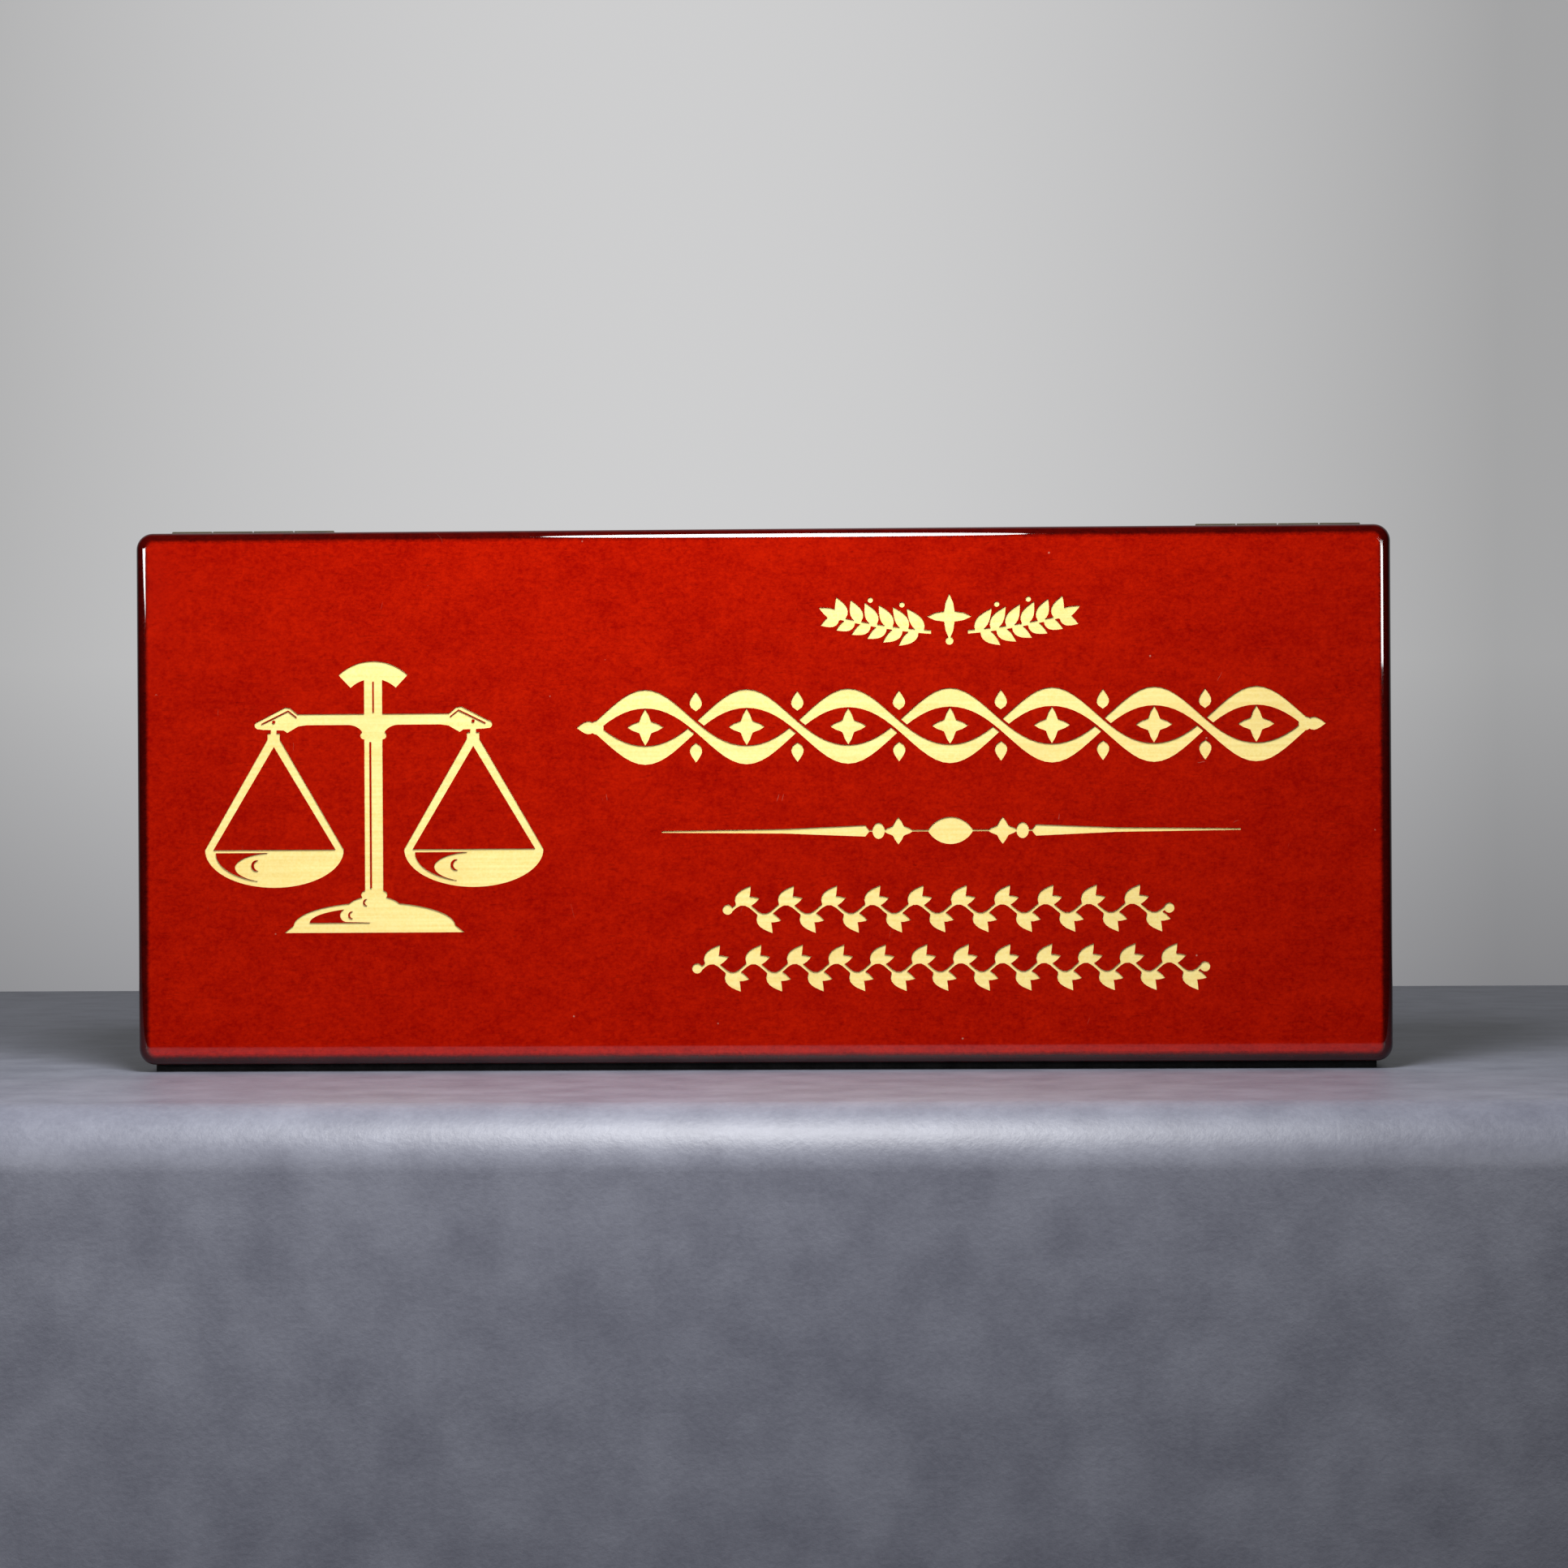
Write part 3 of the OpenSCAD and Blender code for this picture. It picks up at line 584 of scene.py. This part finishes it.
def rim_cutters(rim_y, into, magnets):
    """Everything that is let into a rim: both hinges, their screws and the magnets."""
    side_room = 0.15 * MM
    past = 1 * MM
    above_y = rim_y - into * past
    cutters = []
    for middle_x in (PIN_MIDDLE.x, -PIN_MIDDLE.x):
        half = HINGE_L / 2 + side_room
        floor_y, mouth_y = sorted((rim_y + into * LEAF_T, above_y))
        leaf_low = (middle_x - half, floor_y, LEAF_LOW_Z - side_room)
        cutters.append(block("leaf_recess", leaf_low, (middle_x + half, mouth_y, case_high.z + past)))
        barrel = [(middle_x + end * half, PIN_MIDDLE.y, PIN_MIDDLE.z) for end in (-1, 1)]
        cutters.append(rod("barrel_groove", *barrel, BARREL_R + BARREL_ROOM))
    for x, z in screw_places():
        cutters.append(rod("screw_hole", (x, above_y, z), (x, rim_y + into * SCREW_L, z), SCREW_R, 16))
    low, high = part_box(magnets)
    radius = (high.z - low.z) / 2
    z = low.z + radius
    floor_y = rim_y + into * (high.y - low.y)
    for x in (low.x + radius, high.x - radius):
        cutters.append(rod("magnet_hole", (x, above_y, z), (x, floor_y, z), radius))
    return cutters


def finger_scoop(rim_y):
    """The shallow hollow under the lid's lower rail that a finger lifts it by."""
    radius, rise, depth = 40 * MM, 2.6 * MM, 5 * MM
    middle_z = case_low.z + rise - radius
    return rod("finger_scoop", (0, rim_y - depth, middle_z), (0, rim_y + 1 * MM, middle_z), radius, 160)


RIM_EASE = 0.3 * MM  # the rims' sharp edges are taken off by this much


def mitred_rails(body, into, magnets, extra_cutters=()):
    """One half's four rails, cut as a ring with eased rims and then parted at the mitres."""
    low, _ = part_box(f"{body}_rail_bottom")
    _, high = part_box(f"{body}_rail_top")
    low = Vector((case_low.x, low.y, case_low.z))
    high = Vector((case_high.x, high.y, case_high.z))
    rail_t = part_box(f"{body}_lining_left")[0].x - case_low.x
    rim_y = high.y if into < 0 else low.y
    ring = rounded_block("rails", low, high, CORNER_R)
    past = Vector((0, 1 * MM, 0))
    inset = Vector((rail_t, 0, rail_t))
    cut_away(ring, block("inside", low + inset - past, high - inset + past))
    cut_away(ring, *rim_cutters(rim_y, into, magnets), *extra_cutters)
    scoop_half_w, scoop_h = 16 * MM, 3 * MM

    def on_rim(middle, way):
        in_scoop = extra_cutters and abs(middle.x) < scoop_half_w and middle.z < low.z + scoop_h
        return abs(middle.y - rim_y) < NEAR and not in_scoop

    round_edges(ring, RIM_EASE, 2, on_rim)
    # Each mitre runs at 45 degrees through a corner of the outline
    corners = {
        "top": (((high.x, high.z), (1, -1)), ((low.x, high.z), (-1, -1))),
        "bottom": (((high.x, low.z), (1, 1)), ((low.x, low.z), (-1, 1))),
        "left": (((low.x, high.z), (1, 1)), ((low.x, low.z), (1, -1))),
        "right": (((high.x, high.z), (-1, 1)), ((high.x, low.z), (-1, -1))),
    }
    # A long rail also needs the other long rail's middle off, which the two mitres leave standing
    across = {"top": ((0, case_middle_z), (0, -1)), "bottom": ((0, case_middle_z), (0, 1))}
    for side, mitres in corners.items():
        rail = copy_of(ring, f"{body}_{side}_rail")
        cuts = [*mitres, across[side]] if side in across else mitres
        for (x, z), (way_x, way_z) in cuts:
            pick(rail, "FACE", lambda middle, way: True)
            bpy.ops.mesh.bisect(
                plane_co=(x, 0, z), plane_no=(way_x, 0, way_z),
                use_fill=True, clear_outer=True, threshold=1e-7,
            )
            put_down()
        smooth(rail)
        wood = edge_wood if side in ("top", "bottom") else edge_wood_upright
        deliver(rail, wood, body, "rosewood_edge", f"{body}_rail_{side}")
    bpy.data.objects.remove(ring, do_unlink=True)


# ---------- hinges, screws and magnets ----------


def along_pin(name, start_x, end_x, radius, sides=40):
    """A rod along the left hinge's axis."""
    start = (start_x, PIN_MIDDLE.y, PIN_MIDDLE.z)
    return rod(name, start, (end_x, PIN_MIDDLE.y, PIN_MIDDLE.z), radius, sides)


def hinge_leaves(body, first, into, bore_r):
    """A leaf with every second knuckle, modelled for the left hinge and copied for the right one."""
    rim_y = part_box(f"{body}_hinge_screws")[1].y if into < 0 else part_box(f"{body}_hinge_screws")[0].y
    knuckles = 4
    gap = 0.3 * MM
    leaf_corner_r = 0.6 * MM
    knuckle_ease = 0.22 * MM
    head_room = 0.02 * MM
    knuckle_l = (HINGE_L - (knuckles - 1) * gap) / knuckles
    starts = [PIN_LOW.x + k * (knuckle_l + gap) for k in range(knuckles)]

    back_y, front_y = sorted((rim_y, rim_y + into * LEAF_T))
    leaf = block("leaf", (PIN_LOW.x, back_y, LEAF_LOW_Z), (PIN_HIGH.x, front_y, PIN_MIDDLE.z))
    round_edges(leaf, leaf_corner_r, 4, lambda middle, way: abs(way.y) > 0.9 and middle.z < SCREW_Z)
    others = [starts[k] for k in range(knuckles) if k % 2 != first]
    cut_away(leaf, *[along_pin("room", x - gap, x + knuckle_l + gap, BARREL_R + BARREL_ROOM) for x in others])
    for k in range(first, knuckles, 2):
        knuckle = along_pin("knuckle", starts[k], starts[k] + knuckle_l, BARREL_R)
        round_edges(knuckle, knuckle_ease, 3, lambda middle, way: abs(way.x) < 0.5)
        weld(leaf, knuckle)
    cut_away(leaf, along_pin("bore", PIN_LOW.x - gap, PIN_HIGH.x + gap, bore_r))
    mouth_r, hole_r = SCREW_HEAD_R + head_room, SCREW_R + head_room
    for k in (-1, 0, 1):
        x = PIN_MIDDLE.x + k * SCREW_SPREAD
        face = (x, rim_y - into * head_room, SCREW_Z)
        depth = rim_y + into * (SCREW_HEAD_D + head_room)
        sink = rod("countersink", face, (x, depth, SCREW_Z), (mouth_r, hole_r), 32)
        through = rod("screw_hole", face, (x, rim_y + into * 2 * LEAF_T, SCREW_Z), hole_r, 32)
        cut_away(leaf, sink, through)
    smooth(leaf, 40)
    for side, move in (("left", 0), ("right", HINGE_APART)):
        made = copy_of(leaf, f"{side}_{body}_leaf", (move, 0, 0))
        deliver(made, brass, body, "hinge_brass", f"{side}_hinge_{body}_leaf")
    bpy.data.objects.remove(leaf, do_unlink=True)


def hinge_pins():
    """Pins with their ends peened over a little."""
    peen_r = 0.45 * MM
    pin = along_pin("pin", PIN_LOW.x, PIN_HIGH.x, PIN_R, 32)
    round_edges(pin, peen_r, 4, lambda middle, way: abs(way.x) < 0.5)
    smooth(pin)
    for side, move in (("left", 0), ("right", HINGE_APART)):
        made = copy_of(pin, f"{side}_pin", (move, 0, 0))
        deliver(made, brass, "base", "hinge_brass", f"{side}_hinge_pin")
    bpy.data.objects.remove(pin, do_unlink=True)


def hinge_screws(body, into):
    """Six countersunk screws with crossed slots and pointed ends."""
    low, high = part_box(f"{body}_hinge_screws")
    face_y = high.y if into < 0 else low.y
    shank_r = SCREW_R - 0.02 * MM
    point_start, point_share = 0.75 * SCREW_L, 0.25
    x, z = screw_places()[0]
    at = [(x, face_y + into * depth, z) for depth in (0, SCREW_HEAD_D, point_start, SCREW_L)]
    screw = rod("screw", at[0], at[1], (SCREW_HEAD_R, shank_r), 32)
    pick(screw, "FACE", lambda middle, way: way.y * into > 0.9)
    bpy.ops.mesh.extrude_region_move(TRANSFORM_OT_translate={"value": Vector(at[2]) - Vector(at[1])})
    bpy.ops.mesh.extrude_region_move(TRANSFORM_OT_translate={"value": Vector(at[3]) - Vector(at[2])})
    bpy.ops.transform.resize(value=(point_share, 1, point_share), center_override=at[3])
    put_down()
    half_l, half_w, slot_d = 1.1 * MM, 0.22 * MM, 0.45 * MM
    for half_x, half_z in ((half_l, half_w), (half_w, half_l)):
        slot_low = (x - half_x, face_y - slot_d, z - half_z)
        cut_away(screw, block("slot", slot_low, (x + half_x, face_y + slot_d, z + half_z)))
    smooth(screw)
    copies = [
        copy_of(screw, "screw_copy", (other_x - x, 0, other_z - z)) for other_x, other_z in screw_places()
    ]
    bpy.data.objects.remove(screw, do_unlink=True)
    made = gather(f"{body}_screws", copies)
    deliver(made, brass, body, "hinge_brass", f"{body}_hinge_screws")


def magnet_pair(body):
    """Two closing magnets with rounded rims."""
    node = f"{body}_magnets"
    low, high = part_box(node)
    radius = (high.z - low.z) / 2
    middle_z = low.z + radius
    rim_r = 0.3 * MM
    disc = rod("disc", (low.x + radius, low.y, middle_z), (low.x + radius, high.y, middle_z), radius)
    round_edges(disc, rim_r, 3, lambda middle, way: abs(way.y) < 0.5)
    smooth(disc)
    other = copy_of(disc, "other_disc", (high.x - low.x - 2 * radius, 0, 0))
    deliver(gather(f"{body}_magnet_pair", [disc, other]), nickel, body, "magnet_nickel", node)


# ---------- lining, pad, insert and feet ----------


def lining_cards(body):
    """Velvet-covered cards round the inside of one half; the base's rise past its rim as a lip."""
    soft_edge = 0.6 * MM
    rim_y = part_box("base_rail_top")[0].y
    relief = 0.4 * MM
    for side in ("top", "bottom", "left", "right"):
        node = f"{body}_lining_{side}"
        low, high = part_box(node)
        card = block(f"{body}_{side}_lining", low, high)
        if body == "base":
            # The lip steps back from the lid's rails
            past = 1 * MM
            step_low = Vector((low.x - past, low.y - past, low.z - past))
            step_high = Vector((high.x + past, rim_y, high.z + past))
            inner_low = low + Vector((relief, 0, relief))
            inner_high = high - Vector((relief, 0, relief))
            strips = {
                "top": [("z", inner_high.z, True), ("x", inner_low.x, False), ("x", inner_high.x, True)],
                "bottom": [("z", inner_low.z, False), ("x", inner_low.x, False), ("x", inner_high.x, True)],
                "left": [("x", inner_low.x, False)],
                "right": [("x", inner_high.x, True)],
            }[side]
            for axis, level, above in strips:
                strip_low, strip_high = step_low.copy(), step_high.copy()
                setattr(strip_low if above else strip_high, axis, level)
                cut_away(card, block("step", strip_low, strip_high))
        free_y = low.y if body == "base" else high.y
        round_edges(card, soft_edge, 4, lambda middle, way: abs(middle.y - free_y) < NEAR)
        smooth(card)
        deliver(card, velvet, body, "velvet", node)


# Wells of the fitted insert: a gavel's head, its handle and a round sounding block
HEAD_WELL_X = -119 * MM
HEAD_WELL = (54 * MM, 92 * MM)
HEAD_WELL_D = 33 * MM
HEAD_WELL_R = 4 * MM
TROUGH_W = 24 * MM
TROUGH_END_X = 128 * MM
TROUGH_D = 14 * MM
BLOCK_WELL_X = 70 * MM
BLOCK_WELL_R = 46 * MM
BLOCK_WELL_D = 34 * MM


def fitted_insert():
    """Foam under velvet, its wells with soft rolled rims and its top a little uneven."""
    low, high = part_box("fitted_insert")
    slack = 0.3 * MM
    made = block("velvet_insert", low + Vector((slack, slack, slack)), high - Vector((slack, 0, slack)))
    half_w, half_h = HEAD_WELL[0] / 2, HEAD_WELL[1] / 2
    open_y = low.y - 2 * MM
    z = case_middle_z
    head_low = (HEAD_WELL_X - half_w, open_y, z - half_h)
    head_high = (HEAD_WELL_X + half_w, low.y + HEAD_WELL_D, z + half_h)
    block_floor_y = low.y + BLOCK_WELL_D
    half_t = TROUGH_W / 2
    end_x = TROUGH_END_X - half_t
    floor_y = low.y + TROUGH_D
    cut_away(
        made,
        rounded_block("head_well", head_low, head_high, HEAD_WELL_R, 5),
        rod("block_well", (BLOCK_WELL_X, open_y, z), (BLOCK_WELL_X, block_floor_y, z), BLOCK_WELL_R, 96),
        block("trough", (HEAD_WELL_X, open_y, z - half_t), (end_x, floor_y, z + half_t)),
        rod("trough_end", (end_x, open_y, z), (end_x, floor_y, z), half_t, 48),
    )
    apply(made, "REMESH", mode="VOXEL", voxel_size=1.5 * MM)
    apply(made, "SMOOTH", factor=0.6, iterations=9)
    plump = bpy.data.textures.new("uneven foam", "CLOUDS")
    plump.noise_scale = 0.035
    apply(made, "DISPLACE", texture=plump, strength=0.9 * MM, mid_level=0.62, texture_coords="LOCAL")
    only(made)
    bpy.ops.object.shade_smooth()
    deliver(made, velvet, "base", "velvet", "fitted_insert")


def lid_pad():
    """A thin padded panel, glued flat to the lid's board and swollen by cloth simulation."""
    low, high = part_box("lid_pad")
    back_y = low.y
    inset = 0.3 * MM
    start_t = 2.4 * MM
    cap = 2.3 * MM
    crown_reach = 7 * MM
    width, height = high.x - low.x - 2 * inset, high.z - low.z - 2 * inset
    middle = (low + high) / 2
    bpy.ops.mesh.primitive_grid_add(
        x_subdivisions=72, y_subdivisions=28, size=1,
        location=(middle.x, back_y, middle.z), rotation=(math.pi / 2, 0, 0),
    )
    made = bpy.context.object
    made.name = "padded_panel"
    made.scale = (width, height, 1)
    bpy.ops.object.transform_apply(location=True, rotation=True, scale=True)
    pick(made, "FACE", lambda middle, way: True)
    bpy.ops.mesh.extrude_region_move(TRANSFORM_OT_translate={"value": (0, start_t, 0)})
    put_down()
    pick(made, "FACE", lambda middle, way: True)
    bpy.ops.mesh.normals_make_consistent(inside=False)
    put_down()
    at_rest = [corner.co.copy() for corner in made.data.vertices]
    glued = made.vertex_groups.new(name="glued")
    glued.add([k for k, place in enumerate(at_rest) if place.y < back_y + NEAR], 1.0, "REPLACE")
    cloth = made.modifiers.new("swelling", "CLOTH")
    cloth.settings.use_pressure = True
    cloth.settings.uniform_pressure_force = 4
    cloth.settings.vertex_group_mass = "glued"
    cloth.settings.effector_weights.gravity = 0
    cloth.settings.tension_stiffness = 25
    for step in range(1, 21):
        bpy.context.scene.frame_set(step)
    only(made)
    bpy.ops.object.modifier_apply(modifier=cloth.name)
    bpy.context.scene.frame_set(1)
    # No point rises further than the cap, and a gentle crown shows even without the simulation
    for corner, start in zip(made.data.vertices, at_rest):
        if start.y > back_y + NEAR:
            to_side = min(start.x - low.x, high.x - start.x, start.z - low.z, high.z - start.z)
            crown = cap * (1 - math.exp(-to_side / crown_reach))
            swell = max(corner.co.y - start.y, 0)
            rise = 0.55 * crown + 0.45 * crown * math.tanh(swell / cap)
            corner.co = Vector((start.x, start.y + rise, start.z))
    apply(made, "SUBSURF", levels=1, render_levels=1)
    only(made)
    bpy.ops.object.shade_smooth()
    deliver(made, velvet, "lid", "velvet", "lid_pad")


def felt_feet():
    """Four felt discs with softened rims."""
    low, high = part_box("felt_feet")
    radius, rim_r = 7 * MM, 0.4 * MM
    first = Vector((low.x + radius, low.y, low.z + radius))
    disc = rod("foot", first, first + Vector((0, high.y - low.y, 0)), radius)
    round_edges(disc, rim_r, 3, lambda middle, way: abs(way.y) < 0.5 and middle.y > first.y + NEAR)
    smooth(disc)
    reach = high - low - Vector((2 * radius, 0, 2 * radius))
    copies = [copy_of(disc, "foot_copy", (reach.x * i, 0, reach.z * k)) for i in (0, 1) for k in (0, 1)]
    bpy.data.objects.remove(disc, do_unlink=True)
    deliver(gather("felt_discs", copies), felt, "base", "felt", "felt_feet")


engraved_front()
plain_back()
LID_RIM_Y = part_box("lid_rail_top")[1].y
mitred_rails("lid", -1, "lid_magnets", [finger_scoop(LID_RIM_Y)])
mitred_rails("base", 1, "base_magnets")
PIN_FIT = 0.05 * MM
hinge_leaves("lid", 1, -1, PIN_R + PIN_FIT)
hinge_leaves("base", 0, 1, PIN_R)
hinge_pins()
hinge_screws("lid", -1)
hinge_screws("base", 1)
magnet_pair("lid")
magnet_pair("base")
lining_cards("lid")
lining_cards("base")
fitted_insert()
lid_pad()
felt_feet()


# ---------- table, background, lights and camera ----------


MAT_T = 2 * MM  # the case stands on a mat this thick, set in from its edges


def table_top():
    """A cloth-covered table, its near edge rounded over a little in front of the case."""
    near, far, half_width, drop, roll = -0.16, 0.42, 1.6, 0.5, 0.016
    top = block("table_top", (-half_width, near, -drop), (half_width, far, -MAT_T))
    round_edges(top, roll, 14, lambda middle, way: True)
    smooth(top)
    material, tree, sockets, at = new_material("table_cloth", Roughness=0.5, Specular_IOR_Level=0.9)
    nap = place(tree, NAP, vector=at, fibre_scale=600.0, patch_scale=60.0)
    weave = blend_colour(tree, nap["Shade"], (0.165, 0.172, 0.225, 1), (0.25, 0.26, 0.325, 1))
    put(tree, sockets["Base Color"], weave)
    bump(tree, sockets, nap["Height"], 0.0001)
    top.data.materials.append(material)


def mat():
    """A thin black mat that leaves a shadowed gap all round under the standing case; its black felt is
    painted shade in that gap, on top of the real shadow there.
    """
    side, front, back = 4 * MM, 6.5 * MM, 5 * MM
    back_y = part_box("base_board")[1].y - back
    made = block("mat", (case_low.x + side, case_low.y + front, -MAT_T), (case_high.x - side, back_y, -NEAR))
    # Black felt on the mat: painted shade in the gap under the case, added to the real shadow
    made.data.materials.append(felt)


def surroundings():
    """A pale backdrop to look at, with a painted pool of spot light on it (painted brighter in its upper
    middle, painted darker towards the sides and the bottom), and dim surroundings, darkest in front, for the
    lacquer to mirror.
    """
    world = bpy.data.worlds.new("studio")
    bpy.context.scene.world = world
    world.use_nodes = True
    tree = world.node_tree
    tree.nodes.clear()
    way = add(tree, "ShaderNodeTexCoord").outputs["Generated"]
    parts = add(tree, "ShaderNodeSeparateXYZ", {0: way}).outputs
    up = parts["Z"]
    # Painted shade: the backdrop's colour is painted darker towards its bottom, as part of a painted pool of
    # spot light
    backdrop = blend_colour(tree, ramp(tree, up, -0.1, 0.03), (0.24, 0.24, 0.265, 1), (0.62, 0.62, 0.625, 1))
    # Painted pool of spot light: the backdrop's strength is painted brighter in the middle and darker towards
    # the sides
    aside = calc(tree, "ADD", parts["X"], 0.06)
    painted_spot_falloff = calc(tree, "MULTIPLY", calc(tree, "MULTIPLY", aside, aside), 10.0)
    painted_spot_pool = calc(tree, "MAXIMUM", calc(tree, "SUBTRACT", 1.0, painted_spot_falloff), 0.6)
    dim = calc(tree, "ADD", ramp(tree, parts["Y"], 0.2, 0.7, 0.0, 0.35), 0.004)
    seen = add(tree, "ShaderNodeBackground", {"Color": backdrop, "Strength": painted_spot_pool})
    mirrored = add(tree, "ShaderNodeBackground", {"Color": (0.95, 0.97, 1, 1), "Strength": dim})
    ray = add(tree, "ShaderNodeLightPath").outputs["Is Camera Ray"]
    mixed = add(tree, "ShaderNodeMixShader", {0: ray, 1: mirrored.outputs[0], 2: seen.outputs[0]})
    add(tree, "ShaderNodeOutputWorld", {"Surface": mixed.outputs[0]})


def soft_box(name, at, target, width, height, radiance, shape="RECTANGLE", tilt=0):
    """A soft light of even brightness turned towards a point; tilt turns its outline about that line."""
    light = bpy.data.lights.new(name, "AREA")
    light.shape = shape
    light.size = width
    light.size_y = height
    area = width * height * (math.pi / 4 if shape == "ELLIPSE" else 1)
    light.energy = radiance * area * math.pi
    made = bpy.data.objects.new(name, light)
    bpy.context.scene.collection.objects.link(made)
    made.location = at
    facing = (Vector(target) - Vector(at)).to_track_quat("-Z", "Y").to_matrix()
    made.rotation_euler = (facing @ Matrix.Rotation(math.radians(tilt), 3, "Z")).to_euler()
    made.visible_camera = False
    return made


def camera():
    """A long lens level with the case, a little to its right."""
    distance, yaw, roll = 1.1, math.radians(2.0), math.radians(-0.33)
    aim = Vector((0.0063, cad_box[0].y, 0.0762))
    lens = bpy.data.cameras.new("camera")
    lens.lens = 92.61
    lens.sensor_width = 36
    made = bpy.data.objects.new("camera", lens)
    bpy.context.scene.collection.objects.link(made)
    made.location = aim + distance * Vector((math.sin(yaw), -math.cos(yaw), 0))
    turn = Matrix.Rotation(yaw, 4, "Z") @ Matrix.Rotation(math.pi / 2, 4, "X") @ Matrix.Rotation(roll, 4, "Z")
    made.rotation_euler = turn.to_euler()
    bpy.context.scene.camera = made


bpy.context.scene.view_settings.view_transform = "Standard"
table_top()
mat()
surroundings()
soft_box("key box", (-0.008, -0.328, 0.402), (-0.11, -0.03, 0.12), 0.178, 0.3, 25.5, "ELLIPSE")
soft_box("left box", (-0.608, -0.939, 0.207), (-0.17, -0.04, 0.14), 0.5, 0.065, 20.0, tilt=-5.7)
soft_box("right box", (0.542, -1.075, 0.172), (0.17, -0.04, 0.13), 0.436, 0.066, 20.0).visible_diffuse = False
camera()
